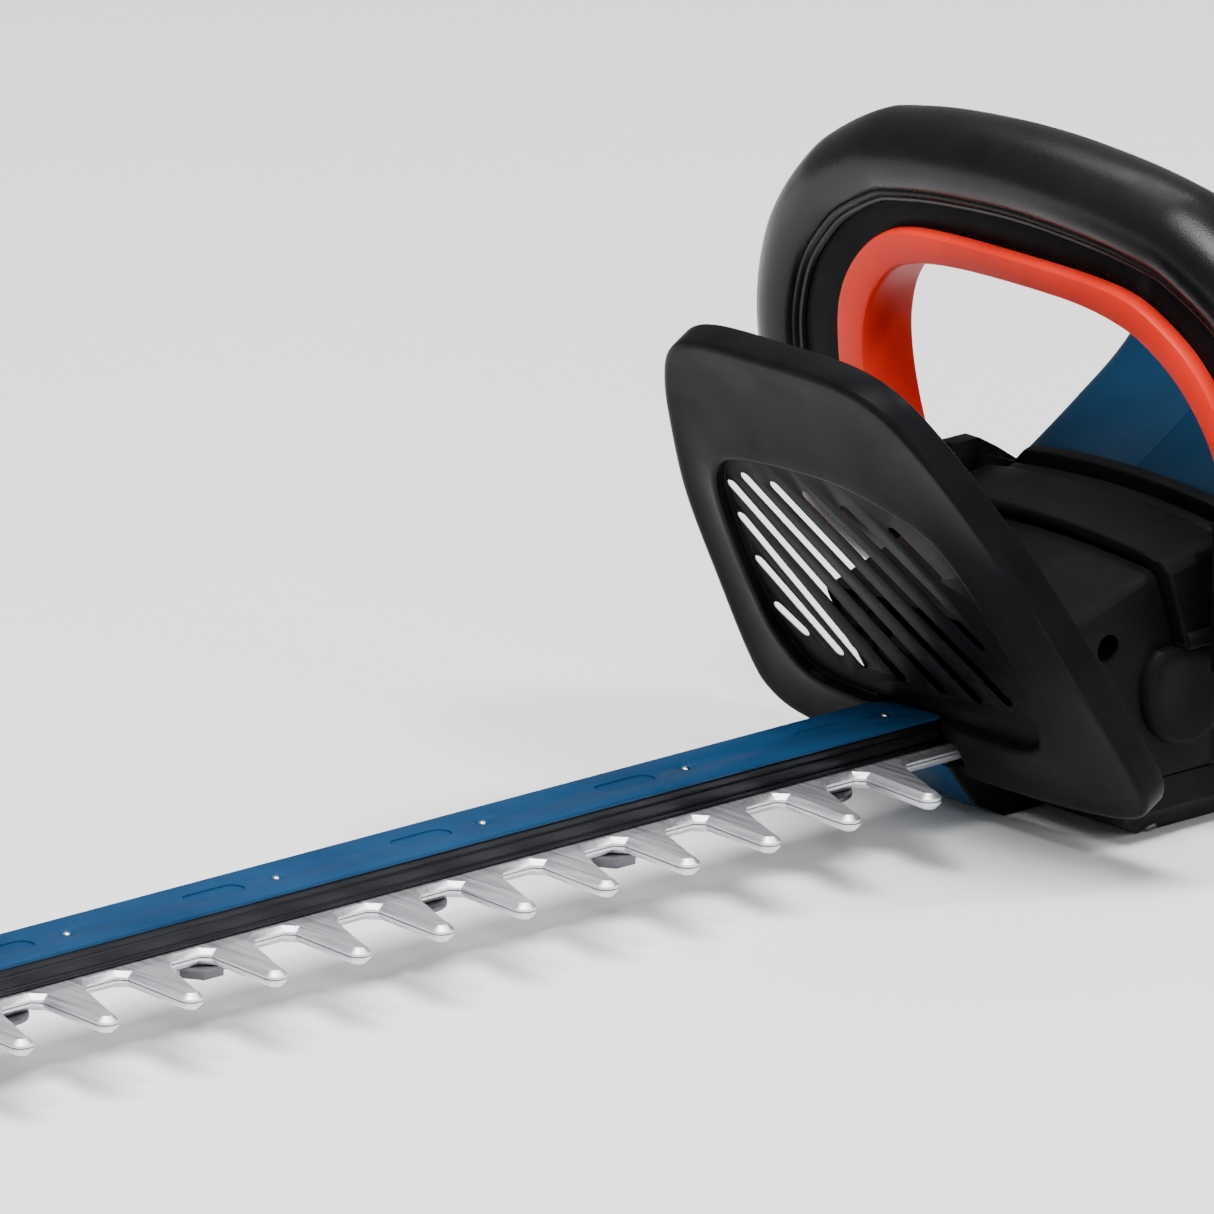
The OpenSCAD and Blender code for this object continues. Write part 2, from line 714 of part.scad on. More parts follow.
// the bar's -Y leg flares further out than its +Y leg, where the free hand reaches it
bar_outer = over_top([
    [0, 94.7], [26, 94.4], [44, 93], [56, 89], [67, 79.5], [74, 68], [77, 55], [77.4, 40],
    [75, 20], [74, 12]
], [
    [0, 94.7], [26, 94.4], [44, 92.6], [56, 87.5], [68, 78.6], [76.5, 66.5], [81, 55],
    [83.5, 42], [83, 22], [82, 12]
]);
bar_inner = over_top([
    [0, 87.2], [24, 86.6], [40, 84.5], [51, 80.5], [60.5, 71], [65.5, 60], [67.4, 48],
    [67, 34], [65, 20], [64, 12]
], [
    [0, 87.2], [24, 86.6], [40, 84], [51, 79.6], [62, 71], [69.5, 60.5], [73.6, 50],
    [75.6, 37], [75.4, 22], [74.4, 12]
]);

// the tube's section: distance in from the outer edge, and depth along local X
tube_section = [
    [tube_in, flange_x], [20, 13.6], [13, tube_depth], [6, 12.6], [1.6, 7], [0, 2.5],
    [0, -2.5], [1.6, -7], [6, -12.6], [13, -tube_depth], [20, -13.6], [tube_in, -flange_x]
];

// inward direction at each point of an open outline
function inward(p, i) =
    let (t = unit(p[min(i + 1, len(p) - 1)] - p[max(i - 1, 0)])) [t[1], -t[0]];

function moved_in(p, d) = [for (i = [0 : len(p) - 1]) p[i] + d * inward(p, i)];

function flipped(p) = [for (i = [len(p) - 1 : -1 : 0]) p[i]];

module bale_handle_grip() {
    color([0.03, 0.03, 0.03]) at_bale_plane() loft([
        for (i = [0 : len(bale_outer) - 1]) let (n = inward(bale_outer, i))
            [for (q = tube_section)
                [q[1], bale_outer[i][0] + q[0] * n[0], bale_outer[i][1] + q[0] * n[1]]]
    ]);
}

module bale_handle_frame() {
    color([0.07, 0.07, 0.08]) difference() {
        union() {
            at_bale_plane()
                plate(concat(moved_in(bale_outer, tube_in), [[58, 4], [54, 4], [54, 12]],
                    flipped(bar_outer), [[-54, 12], [-54, 4], [-58, 4]]), -flange_x, flange_x);
            for (s = [0, 1]) mirror([0, s, 0]) difference() {
                union() {
                    translate([bale_x - 4, pad_y, 49]) cube([36, pad_t, 43]);
                    translate([collar_x + 1, pad_y - 5, 62.2]) cube([24, 6, 26]);
                }
                translate([bale_x - 20, pad_y - 1, 92]) rotate([0, 30, 0]) cube([80, 10, 40]);
            }
        }
        for (s = [0, 1]) mirror([0, s, 0]) for (p = bale_screw_at) {
            rod([p[0], pad_y - 8, p[1]], 2, 16, "y");
            rod([p[0], pad_y + 3, p[1]], 3.8, 10, "y");
        }
        at_bale_plane() {
            translate([-4, -9, 94]) cube([8, 18, 7.2]);
            for (s = [0, 1]) mirror([0, s, 0]) translate([-20, 45, -30]) cube([22, 32, 51]);
        }
    }
}

module bale_screw_holes() {
    for (s = [0, 1]) mirror([0, s, 0]) for (p = bale_screw_at)
        rod([p[0], pad_y - 9, p[1]], 2, 12, "y");
}

module bale_handle_screws() {
    color([0.5, 0.5, 0.52]) for (s = [0, 1]) mirror([0, s, 0]) for (p = bale_screw_at)
        translate([p[0], pad_y + 3, p[1]]) rotate([-90, 0, 0]) screw(3.6, 2.2, 2, 11);
}

module bale_switch_bar() {
    color([0.78, 0.20, 0.15]) at_bale_plane() {
        plate(concat(bar_outer, flipped(bar_inner)), -bar_front, -flange_x - gap);
        plate(concat(moved_in(bar_outer, bar_travel + 0.5), flipped(bar_inner)),
            -flange_x - gap - 0.01, bar_rear);
    }
}

spring_y = 30;

module switch_bar_springs() {
    color([0.7, 0.7, 0.72]) at_bale_plane() for (s = [-1, 1])
        rod([-2, s * spring_y, 94.2 - bar_travel - 0.3], 1.4, bar_travel + 0.2, "z");
}

module bale_microswitch() {
    color([0.12, 0.12, 0.13]) at_bale_plane() translate([-3.9, -7, 95.3]) difference() {
        cube([7.8, 14, 5.8]);
        for (y = [3.5, 10.5]) rod([-1, y, 2.9], 1, 12, "x");
    }
}

// ---------- main housing halves ----------

// one half of a shell section: centre, half width, half height along up, wall, squareness
function half_ring(c, up, w, h, t, n) = [
    for (q = [[w, h, 90, -15], [w - t, h - t, -90, 15]], k = [0 : 12])
        let (a = q[2] + k * q[3], y = pow(abs(cos(a)), 2 / n), v = pow(abs(sin(a)), 2 / n))
            [c[0] + up[0] * q[1] * v * sign(sin(a)), q[0] * y, c[1] + up[1] * q[1] * v * sign(sin(a))]
];

// stations along the body: x, half width, top, bottom, squareness
body_stations = open_curve([
    [body_x, 46, 91.6, 58, 6], [158, 47.5, 104, 58, 5.6], [178, 49, 119, 57.5, 5],
    [200, 50, 146, 57.2, 4.2], [222, 48, 167, 49, 3.6], [252, 42, 181, 43, 3.2],
    [292, 37, 187, 42, 2.8], [304, 33, 184, 47, 2.6], [310, 26, 176, 58, 2.4]
], 3);

module body_half() {
    loft([for (s = body_stations)
        half_ring([s[0], (s[2] + s[3]) / 2], [0, 1], s[1], (s[2] - s[3]) / 2, shell_t, s[4])]);
    last = body_stations[len(body_stations) - 1];
    translate([last[0] - shell_t, 0, last[3] + 8]) cube([shell_t, last[1] - 7, last[2] - last[3] - 16]);
}

// where the shell screws go in: x, z, how far out each head sits, and the shell's wall there
body_screws = [[194, 72, 38, 47], [200, 126, 38, 46], [262, 58, 20, 30], [262, 164, 24, 32]];
handle_screws_at = [[364, 163, 8, 15], [473, 92, 8, 15], [330, 66, 22, 31], [450, 66, 22, 31]];

// the lock-off button's well, where the housing and the rear handle meet
module button_pocket() {
    translate([button_x - gap, -6 - gap, 169.8]) cube([button_l + 2 * gap, 12 + 2 * gap, 25]);
}

module screw_posts(places) {
    for (p = places) rod([p[0], 0, p[1]], 4.6, p[3], "y");
}

module screw_holes(places, side) {
    for (p = places) {
        rod([p[0], -p[2] - 20, p[1]], 1.6, p[2] + 20 + (side > 0 ? 14 : 0), "y");
        if (side < 0) rod([p[0], -80, p[1]], 3.4, 80 - p[2] + 2, "y");
    }
}

vent_x = 206;
vent_z = 84;
vent_l = 34;
vent_h = 32;

module housing_half(side) {
    difference() {
        mirror([0, side < 0 ? 1 : 0, 0]) union() {
            body_half();
            screw_posts(body_screws);
        }
        screw_holes(body_screws, side);
        translate([body_x - 1, shell_t - case_w + 3, 50]) cube([52, 2 * case_w - 12, 12]);
        translate([vent_x, side * 50 - 10, vent_z]) cube([vent_l, 20, vent_h]);
        bale_screw_holes();
        button_pocket();
        rod([300, 0, wire_z], wire_r + 0.4, 12, "x");
    }
}

module housing_right() { color([0.06, 0.29, 0.45]) housing_half(1); }

module housing_left() { color([0.06, 0.29, 0.45]) housing_half(-1); }

module vent_grilles() {
    color([0.05, 0.05, 0.06]) for (s = [0, 1]) mirror([0, s, 0]) difference() {
        translate([vent_x + 0.1, 44.5, vent_z + 0.1]) cube([vent_l - 0.2, 4, vent_h - 0.2]);
        for (k = [0 : 4]) translate([vent_x + 3, 40, vent_z + 3.2 + k * 5.6])
            cube([vent_l - 6, 12, 2.6]);
    }
}

// ---------- rear handle ----------

handle_w = 16.5;
handle_h = 18;
handle_path = open_curve([
    [310.05, 163.4], [335, 166], [372, 163], [408, 154], [440, 138], [463, 115], [473, 92], [474, 76]
], 4);
arm_z = 66;
arm_h = 10;
arm_w = 33;
arm_end = 491;

// the first section stands upright against the housing's rear wall
function path_up(p, i) = i == 0 ? [0, 1] :
    let (t = unit(p[min(i + 1, len(p) - 1)] - p[max(i - 1, 0)])) [-t[1], t[0]];

module handle_loft(from, to, grow, t) {
    loft([for (i = [from : to])
        half_ring(handle_path[i], path_up(handle_path, i), handle_w + grow, handle_h + grow, t, 2.4)]);
}

trigger_x0 = 320;
trigger_x1 = 352;
trigger_w = 7.5;
button_x = 303.5;
button_l = 15;

module handle_half(side) {
    difference() {
        mirror([0, side < 0 ? 1 : 0, 0]) union() {
            handle_loft(0, len(handle_path) - 1, 0, shell_t);
            loft([for (x = [310.01, 360, 420, arm_end])
                half_ring([x, arm_z], [0, 1], arm_w, arm_h, shell_t, 4)]);
            translate([arm_end - shell_t, 0, arm_z - 8]) cube([shell_t, arm_w - 3, 16]);
            screw_posts(handle_screws_at);
        }
        screw_holes(handle_screws_at, side);
        translate([trigger_x0 - 4, -trigger_w - gap, 140])
            cube([trigger_x1 - trigger_x0 + 6, 2 * (trigger_w + gap), 18]);
        button_pocket();
        rod([pin_x, 4 - handle_w, pin_z], pin_r + 0.02, 2 * handle_w - 8, "y");
        translate([dock_x0 + 4, -14, arm_z - arm_h - 1]) cube([14, 28, 6]);
    }
}

module handle_right() { color([0.06, 0.29, 0.45]) handle_half(1); }

module handle_left() { color([0.06, 0.29, 0.45]) handle_half(-1); }

module housing_screws() {
    color([0.5, 0.5, 0.52]) for (p = concat(body_screws, handle_screws_at))
        translate([p[0], -p[2] + 2, p[1]]) rotate([90, 0, 0])
            translate([0, 0, 0.01]) screw(3.2, 2, 1.6, p[2] + 11);
}

module rear_grip() {
    color([0.03, 0.03, 0.03]) for (s = [0, 1]) mirror([0, s, 0]) handle_loft(9, 19, 2.4, 2.35);
}

pin_x = 325;
pin_z = 155;
pin_r = 1.5;

module trigger() {
    color([0.78, 0.20, 0.15]) difference() {
        side_plate([[trigger_x0, 160], [trigger_x0 - 1, 150], [trigger_x0 + 2, 143],
            [trigger_x0 + 9, 137], [trigger_x0 + 18, 135.5], [trigger_x1 - 5, 138.5],
            [trigger_x1, 145], [trigger_x1, 160]], -trigger_w, trigger_w);
        rod([pin_x, -10, pin_z], pin_r + 0.05, 20, "y");
    }
}

module trigger_pin() {
    color([0.8, 0.8, 0.82]) rod([pin_x, -handle_w + 4.2, pin_z], pin_r, 2 * handle_w - 8.4, "y");
}

module trigger_spring() {
    color([0.7, 0.7, 0.72]) rod([345, 0, 160.1], 2.5, 7.6, "z");
}

module trigger_switch() {
    color([0.12, 0.12, 0.13]) difference() {
        translate([329, -6.5, 168]) cube([24, 13, 10]);
        for (x = [333, 349]) rod([x, -8, 173], 1.2, 16, "y");
    }
}

module lock_off_button() {
    color([0.78, 0.20, 0.15]) union() {
        translate([button_x, -6, 176]) cube([button_l, 12, 11.5]);
        for (x = [3, 7.5, 12]) translate([button_x + x - 0.8, -6, 187]) cube([1.6, 12, 1.2]);
    }
}

module lock_off_spring() {
    color([0.7, 0.7, 0.72]) rod([button_x + button_l / 2, 0, 170], 2.5, 5.9, "z");
}

// ---------- battery and its dock ----------

dock_x0 = 384;
dock_x1 = 486;
dock_z = 47;
pack_x0 = 388;
rail_w = 26.5;
neck_w = 21.5;

module battery_dock() {
    color([0.06, 0.06, 0.07]) difference() {
        translate([dock_x0, -34, dock_z]) cube([dock_x1 - dock_x0, 68, arm_z - arm_h - dock_z]);
        translate([pack_x0 - gap, -neck_w - gap, dock_z - 1]) cube([120, 2 * (neck_w + gap), 6]);
        translate([pack_x0 - gap, -rail_w - gap, 50]) cube([120, 2 * (rail_w + gap), 4.2]);
    }
}

module dock_terminals() {
    color([0.75, 0.6, 0.3]) for (y = [-10, 0, 10])
        translate([pack_x0 - gap - 0.01, y - 0.4, 49]) cube([14, 0.8, 4]);
}

module battery_case() {
    color([0.06, 0.06, 0.07]) difference() {
        plate_box(pack_x0, pack_l, pack_w, 0, 30);
        translate([pack_x0 + 2.5, -pack_w / 2 + 2.5, 2.5]) cube([pack_l - 5, pack_w - 5, 40]);
    }
}

// a block with chamfered upright corners
module plate_box(x0, l, w, z0, z1) {
    c = 5;
    translate([x0, 0, z0]) linear_extrude(z1 - z0) polygon([
        [0, c - w / 2], [c, -w / 2], [l - c, -w / 2], [l, c - w / 2],
        [l, w / 2 - c], [l - c, w / 2], [c, w / 2], [0, w / 2 - c]
    ]);
}

latch_x0 = 488;
latch_w = 12;

module battery_lid() {
    color([0.07, 0.07, 0.08]) difference() {
        union() {
            plate_box(pack_x0, pack_l, pack_w, 30, pack_h);
            translate([pack_x0, -neck_w, pack_h]) cube([96, 2 * neck_w, 7.6]);
            translate([pack_x0, -rail_w, 50.4]) cube([96, 2 * rail_w, 3.4]);
        }
        translate([pack_x0 + 2.5, -pack_w / 2 + 2.5, 29]) cube([pack_l - 5, pack_w - 5, pack_h - 31.5]);
        for (y = [-10, 0, 10]) translate([pack_x0 - 1, y - 1.2, 48]) cube([20, 2.4, 7]);
        translate([latch_x0 - gap, -latch_w - gap, 38])
            cube([12 + 2 * gap, 2 * (latch_w + gap), 20]);
    }
}

module battery_cells() {
    color([0.2, 0.45, 0.35]) for (i = [0 : 4], k = [0, 1])
        rod([pack_x0 + 16 + i * 19.5, -32.5, 12.4 + k * 19], 9.2, 65, "y");
}

module battery_latch() {
    color([0.78, 0.20, 0.15]) difference() {
        translate([latch_x0, -latch_w, 41.4]) cube([12, 2 * latch_w, 9]);
        for (x = [3, 6, 9]) translate([latch_x0 + x - 0.6, -latch_w - 1, 49.4])
            cube([1.2, 2 * latch_w + 2, 2]);
    }
}

module latch_spring() {
    color([0.7, 0.7, 0.72]) for (y = [-6, 6]) rod([latch_x0 + 6, y, 36], 2, 5.3, "z");
}

// ---------- electronics ----------

module controller_board() {
    color([0.1, 0.3, 0.15]) union() {
        translate([212, -24, 64]) cube([40, 48, 1.6]);
        for (y = [-16, -5, 6]) translate([218, y, 65.6]) cube([9, 8, 4]);
        for (y = [-10, 8]) rod([240, y, 65.6], 5, 14, "z");
    }
}

wire_z = 71.8;
wire_r = 0.95;

module wiring() {
    color([0.15, 0.15, 0.15]) union() {
        rod([184, 4, 62.3], 1.4, 31.5, "x");
        rod([250, 0, 65.61], wire_r, wire_z - 65.61, "z");
        rod([249.5, 0, wire_z], wire_r, 143, "x");
        rod([392, 0, 56.5], wire_r, wire_z - 56.5, "z");
    }
}

blade_rail();
rail_cover();
cover_rivets();
upper_blade();
lower_blade();
blade_bolts();
bolt_washers();
tip_guard();
tip_guard_screws();
drive_gear();
crank_pins();
gear_axle();
gear_bearing();
pinion();
motor_shaft();
motor_rotor();
motor_stator();
motor_can();
motor_fan();
motor_bearings();
gearbox_plate();
gearbox_plate_screws();
rail_clamp();
gear_housing();
gear_housing_screws();
shoulder_band();
collar();
belly_cover();
belly_strap();
belly_screws();
hand_guard();
guard_screws();
bale_handle_frame();
bale_handle_grip();
bale_switch_bar();
switch_bar_springs();
bale_microswitch();
bale_handle_screws();
housing_left();
housing_right();
handle_left();
handle_right();
housing_screws();
vent_grilles();
rear_grip();
trigger();
trigger_pin();
trigger_spring();
trigger_switch();
lock_off_button();
lock_off_spring();
battery_dock();
dock_terminals();
battery_case();
battery_lid();
battery_cells();
battery_latch();
latch_spring();
controller_board();
wiring();
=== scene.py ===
"""The looks of the cordless hedge trimmer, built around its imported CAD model."""

import math

import bmesh
import bpy
import numpy as np
from mathutils import Matrix, Vector


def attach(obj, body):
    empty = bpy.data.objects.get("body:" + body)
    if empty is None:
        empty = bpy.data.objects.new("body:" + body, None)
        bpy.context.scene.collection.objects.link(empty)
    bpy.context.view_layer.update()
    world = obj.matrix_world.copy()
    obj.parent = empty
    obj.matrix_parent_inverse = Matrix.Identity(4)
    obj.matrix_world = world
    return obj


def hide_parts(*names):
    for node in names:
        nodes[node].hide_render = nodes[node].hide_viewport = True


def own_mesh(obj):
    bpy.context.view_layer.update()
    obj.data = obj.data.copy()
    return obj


MM = 0.001
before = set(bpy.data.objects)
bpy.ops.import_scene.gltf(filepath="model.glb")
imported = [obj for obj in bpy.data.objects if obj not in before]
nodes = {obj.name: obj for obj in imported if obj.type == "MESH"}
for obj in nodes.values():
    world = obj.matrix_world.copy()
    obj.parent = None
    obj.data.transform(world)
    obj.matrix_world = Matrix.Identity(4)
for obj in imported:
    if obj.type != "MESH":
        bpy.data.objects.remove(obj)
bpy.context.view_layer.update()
SIDES = ((-1, "left"), (1, "right"))
GUARD_LEAN, BALE_LEAN = 30, 9


# ---------- materials ----------


def add_node(tree, kind, **values):
    """A shader node with its properties and unlinked inputs set."""
    n = tree.nodes.new(kind)
    for key, value in values.items():
        if key.startswith("in_"):
            n.inputs[key[3:].replace("_", " ")].default_value = value
        else:
            setattr(n, key, value)
    return n


def noise(tree, coords, scale, detail=3.0, stretch=None):
    """The factor socket of a noise whose scale is per metre of the object's own frame."""
    source = coords
    if stretch:
        m = add_node(tree, "ShaderNodeMapping")
        m.inputs["Scale"].default_value = stretch
        tree.links.new(coords, m.inputs["Vector"])
        source = m.outputs["Vector"]
    n = add_node(tree, "ShaderNodeTexNoise", in_Scale=scale, in_Detail=detail)
    tree.links.new(source, n.inputs["Vector"])
    return n.outputs["Fac"]


def ramp(tree, source, low, high, a, b):
    """source from low..high mapped to a..b, clamped."""
    n = add_node(tree, "ShaderNodeMapRange")
    n.inputs["From Min"].default_value = low
    n.inputs["From Max"].default_value = high
    n.inputs["To Min"].default_value = a
    n.inputs["To Max"].default_value = b
    tree.links.new(source, n.inputs["Value"])
    return n.outputs["Result"]


def mix_colour(tree, fac, a, b):
    """A colour between a and b; each argument is a value or a socket."""
    n = add_node(tree, "ShaderNodeMix", data_type="RGBA")
    for value, name in ((fac, 0), (a, 6), (b, 7)):
        if isinstance(value, bpy.types.NodeSocket):
            tree.links.new(value, n.inputs[name])
        elif name == 0:
            n.inputs[0].default_value = value
        else:
            n.inputs[name].default_value = (*value, 1)
    return n.outputs[2]


def multiply(tree, a, b):
    """The product of two numbers, each a value or a socket."""
    n = add_node(tree, "ShaderNodeMath", operation="MULTIPLY")
    for value, i in ((a, 0), (b, 1)):
        if isinstance(value, bpy.types.NodeSocket):
            tree.links.new(value, n.inputs[i])
        else:
            n.inputs[i].default_value = value
    return n.outputs[0]


def start_material(name):
    """A new material with its tree, its shader and the object coordinates."""
    m = bpy.data.materials.new(name)
    m.use_nodes = True
    tree = m.node_tree
    shader = tree.nodes["Principled BSDF"]
    coords = add_node(tree, "ShaderNodeTexCoord").outputs["Object"]
    return m, tree, shader, coords


def bumped(tree, shader, height, strength, distance):
    """Raises the surface by a height socket, distance metres at most."""
    b = add_node(tree, "ShaderNodeBump")
    b.inputs["Strength"].default_value = strength
    b.inputs["Distance"].default_value = distance
    tree.links.new(height, b.inputs["Height"])
    tree.links.new(b.outputs["Normal"], shader.inputs["Normal"])


def plastic(name, colour, rough, grain, bump, wear_and_highlight, coat, specular):
    """Moulded plastic: fine spark-eroded grain, slow shade changes, and paler edges, partly rubbed
    wear and partly a painted edge highlight.
    """
    m, tree, shader, coords = start_material(name)
    dark = [c * 0.82 for c in colour]
    pale = [min(1, c * 1.16 + 0.004) for c in colour]
    shade = mix_colour(tree, ramp(tree, noise(tree, coords, 22), 0.3, 0.7, 0, 1), dark, pale)
    speck = ramp(tree, noise(tree, coords, 900, 2), 0.62, 0.78, 0, 0.25)
    shade = mix_colour(tree, speck, shade, [min(1, c * 1.5 + 0.004) for c in colour])
    # convex edges painted paler: rubbed wear together with a painted highlight along the edges
    edge = add_node(tree, "ShaderNodeNewGeometry").outputs["Pointiness"]
    rub_and_highlight = multiply(tree, ramp(tree, edge, 0.52, 0.62, 0, wear_and_highlight),
                   ramp(tree, noise(tree, coords, 130), 0.35, 0.65, 0.2, 1))
    shade = mix_colour(tree, rub_and_highlight, shade, [min(1, c * 1.6 + 0.02) for c in colour])
    tree.links.new(shade, shader.inputs["Base Color"])
    spots = ramp(tree, noise(tree, coords, 60), 0.3, 0.7, rough - 0.05, rough + 0.07)
    tree.links.new(spots, shader.inputs["Roughness"])
    shader.inputs["Coat Weight"].default_value = coat
    shader.inputs["Coat Roughness"].default_value = 0.25
    shader.inputs["Specular IOR Level"].default_value = specular
    bumped(tree, shader, noise(tree, coords, grain, 2), bump, 0.0002)
    return m


def metal(name, colour, rough, stretch, scratch, tarnish, scale):
    """Machined metal with a grinding grain along one direction and darker stains."""
    m, tree, shader, coords = start_material(name)
    grain = noise(tree, coords, scale, 4, stretch)
    stain = ramp(tree, noise(tree, coords, 45, 4), 0.42, 0.75, 0, tarnish)
    shade = mix_colour(tree, ramp(tree, grain, 0.3, 0.7, 0, 1),
                       [c * 0.86 for c in colour], [min(1, c * 1.08) for c in colour])
    shade = mix_colour(tree, stain, shade, [c * 0.45 for c in colour])
    tree.links.new(shade, shader.inputs["Base Color"])
    tree.links.new(ramp(tree, grain, 0.2, 0.8, rough - 0.08, rough + 0.1),
                   shader.inputs["Roughness"])
    shader.inputs["Metallic"].default_value = 1
    bumped(tree, shader, grain, scratch, 0.0001)
    return m


# colour, roughness, grain per metre, grain depth, edge wear and painted edge highlight, coat, specular
# level
PLASTICS = {
    "cover_blue": ((0.0034, 0.034, 0.092), 0.40, 2400, 0.10, 0.25, 0, 0.08),
    "case_black": ((0.0032, 0.0036, 0.0042), 0.40, 1800, 0.22, 0.35, 0, 0.03),
    "guard_black": ((0.0028, 0.0032, 0.0037), 0.34, 2200, 0.16, 0.30, 0, 0.028),
    "soft_black": ((0.0026, 0.0027, 0.0030), 0.30, 1300, 0.24, 0.12, 0, 0.22),
    "housing_blue": ((0.0006, 0.018, 0.046), 0.40, 2000, 0.14, 0.20, 0, 0.05),
    "switch_red": ((0.70, 0.018, 0.007), 0.40, 2000, 0.12, 0.12, 0, 0.12),
    "switch_black": ((0.018, 0.018, 0.020), 0.42, 1500, 0.15, 0.20, 0, 0.5),
    "cell_wrap": ((0.03, 0.20, 0.12), 0.22, 700, 0.05, 0.10, 0.4, 0.5),
    "board_green": ((0.012, 0.11, 0.04), 0.25, 500, 0.08, 0.10, 0.3, 0.5),
}

# colour, roughness, stretch of the grain, scratch depth, stains, grain per metre
METALS = {
    "rail_black": ((0.030, 0.030, 0.034), 0.42, (0.02, 1, 1), 0.10, 0.20, 700),
    "bright_screw": ((0.66, 0.67, 0.70), 0.26, (1, 1, 1), 0.05, 0.15, 700),
    "blade_steel": ((0.74, 0.75, 0.78), 0.48, (1, 0.03, 1), 0.16, 0.14, 900),
    "dark_steel": ((0.13, 0.13, 0.14), 0.38, (1, 1, 1), 0.10, 0.30, 700),
    "gear_steel": ((0.50, 0.50, 0.52), 0.30, (1, 1, 0.05), 0.10, 0.20, 700),
    "cast_metal": ((0.50, 0.51, 0.52), 0.45, (1, 1, 1), 0.25, 0.20, 1200),
    "copper_wire": ((0.60, 0.24, 0.10), 0.33, (1, 1, 0.04), 0.30, 0.20, 1500),
    "spring_steel": ((0.58, 0.58, 0.60), 0.28, (1, 1, 0.05), 0.08, 0.10, 700),
    "contact_brass": ((0.72, 0.50, 0.20), 0.28, (1, 1, 1), 0.06, 0.15, 700),
}

MATERIALS = {name: plastic(name, *look) for name, look in PLASTICS.items()}
MATERIALS |= {name: metal(name, *look) for name, look in METALS.items()}

NODE_SLOTS = {
    "rail_black": ["blade_rail"],
    "cover_blue": ["rail_cover", "belly_strap"],
    "bright_screw": ["cover_rivets", "tip_guard_screws", "gearbox_plate_screws",
                     "gear_housing_screws", "trigger_pin"],
    "blade_steel": ["upper_blade", "lower_blade"],
    "dark_steel": ["blade_bolts", "bolt_washers", "belly_screws", "guard_screws",
                   "bale_handle_screws", "housing_screws"],
    "case_black": ["gear_housing", "shoulder_band", "collar", "belly_cover", "vent_grilles",
                   "battery_dock", "battery_case", "battery_lid", "bale_handle_frame"],
    "guard_black": ["hand_guard", "tip_guard"],
    "soft_black": ["bale_handle_grip", "rear_grip"],
    "housing_blue": ["housing_left", "housing_right", "handle_left", "handle_right"],
    "switch_red": ["bale_switch_bar", "trigger", "lock_off_button", "battery_latch"],
    "gear_steel": ["drive_gear", "crank_pins", "gear_axle", "pinion", "motor_shaft",
                   "gear_bearing", "motor_bearings"],
    "cast_metal": ["gearbox_plate", "rail_clamp", "motor_can", "motor_stator"],
    "copper_wire": ["motor_rotor"],
    "switch_black": ["bale_microswitch", "trigger_switch", "motor_fan", "wiring"],
    "spring_steel": ["switch_bar_springs", "trigger_spring", "lock_off_spring", "latch_spring"],
    "contact_brass": ["dock_terminals"],
    "cell_wrap": ["battery_cells"],
    "board_green": ["controller_board"],
}


# ---------- carried CAD nodes: materials, and edges rounded by modifiers ----------


def smooth_group():
    """Geometry nodes: smooth shading, with creases kept where faces meet sharply."""
    g = bpy.data.node_groups.new("shade_by_angle", "GeometryNodeTree")
    g.interface.new_socket("Geometry", in_out="INPUT", socket_type="NodeSocketGeometry")
    g.interface.new_socket("Geometry", in_out="OUTPUT", socket_type="NodeSocketGeometry")
    gin, gout = g.nodes.new("NodeGroupInput"), g.nodes.new("NodeGroupOutput")
    angle = g.nodes.new("GeometryNodeInputMeshEdgeAngle")
    sharp = g.nodes.new("FunctionNodeCompare")
    sharp.data_type, sharp.operation = "FLOAT", "GREATER_THAN"
    sharp.inputs["B"].default_value = math.radians(32)
    faces, edges = g.nodes.new("GeometryNodeSetShadeSmooth"), g.nodes.new("GeometryNodeSetShadeSmooth")
    faces.domain, edges.domain = "FACE", "EDGE"
    edges.inputs["Shade Smooth"].default_value = False
    g.links.new(gin.outputs[0], faces.inputs["Geometry"])
    g.links.new(faces.outputs[0], edges.inputs["Geometry"])
    g.links.new(angle.outputs["Unsigned Angle"], sharp.inputs["A"])
    g.links.new(sharp.outputs[0], edges.inputs["Selection"])
    g.links.new(edges.outputs[0], gout.inputs[0])
    return g


SMOOTH = smooth_group()


def finish_edges(obj, width, segments=2, limit=32):
    """Welds, rounds and smooths the piece's edges without touching its mesh."""
    if width:
        weld = obj.modifiers.new("weld", "WELD")
        weld.merge_threshold = 0.02 * MM
        bevel = obj.modifiers.new("bevel", "BEVEL")
        bevel.width = width * MM
        bevel.segments = segments
        bevel.limit_method = "ANGLE"
        bevel.angle_limit = math.radians(limit)
        bevel.use_clamp_overlap = True
        bevel.miter_outer = "MITER_ARC"
    smooth = obj.modifiers.new("smooth", "NODES")
    smooth.node_group = SMOOTH


# rounding widths in millimetres, where they differ from the usual one
USUAL_EDGE = 0.2
EDGE = {
    "belly_cover": 0.8, "battery_case": 1.0, "battery_lid": 0.8, "battery_dock": 0.8,
    "tip_guard": 1.0, "lock_off_button": 0.7, "battery_latch": 0.5, "drive_gear": 0.15,
    "pinion": 0.1, "motor_fan": 0.1,
}
for slot_name, names in NODE_SLOTS.items():
    for n in names:
        obj = nodes[n]
        obj.data.materials.clear()
        obj.data.materials.append(MATERIALS[slot_name])
        finish_edges(obj, EDGE.get(n, USUAL_EDGE))


# ---------- shapes ----------


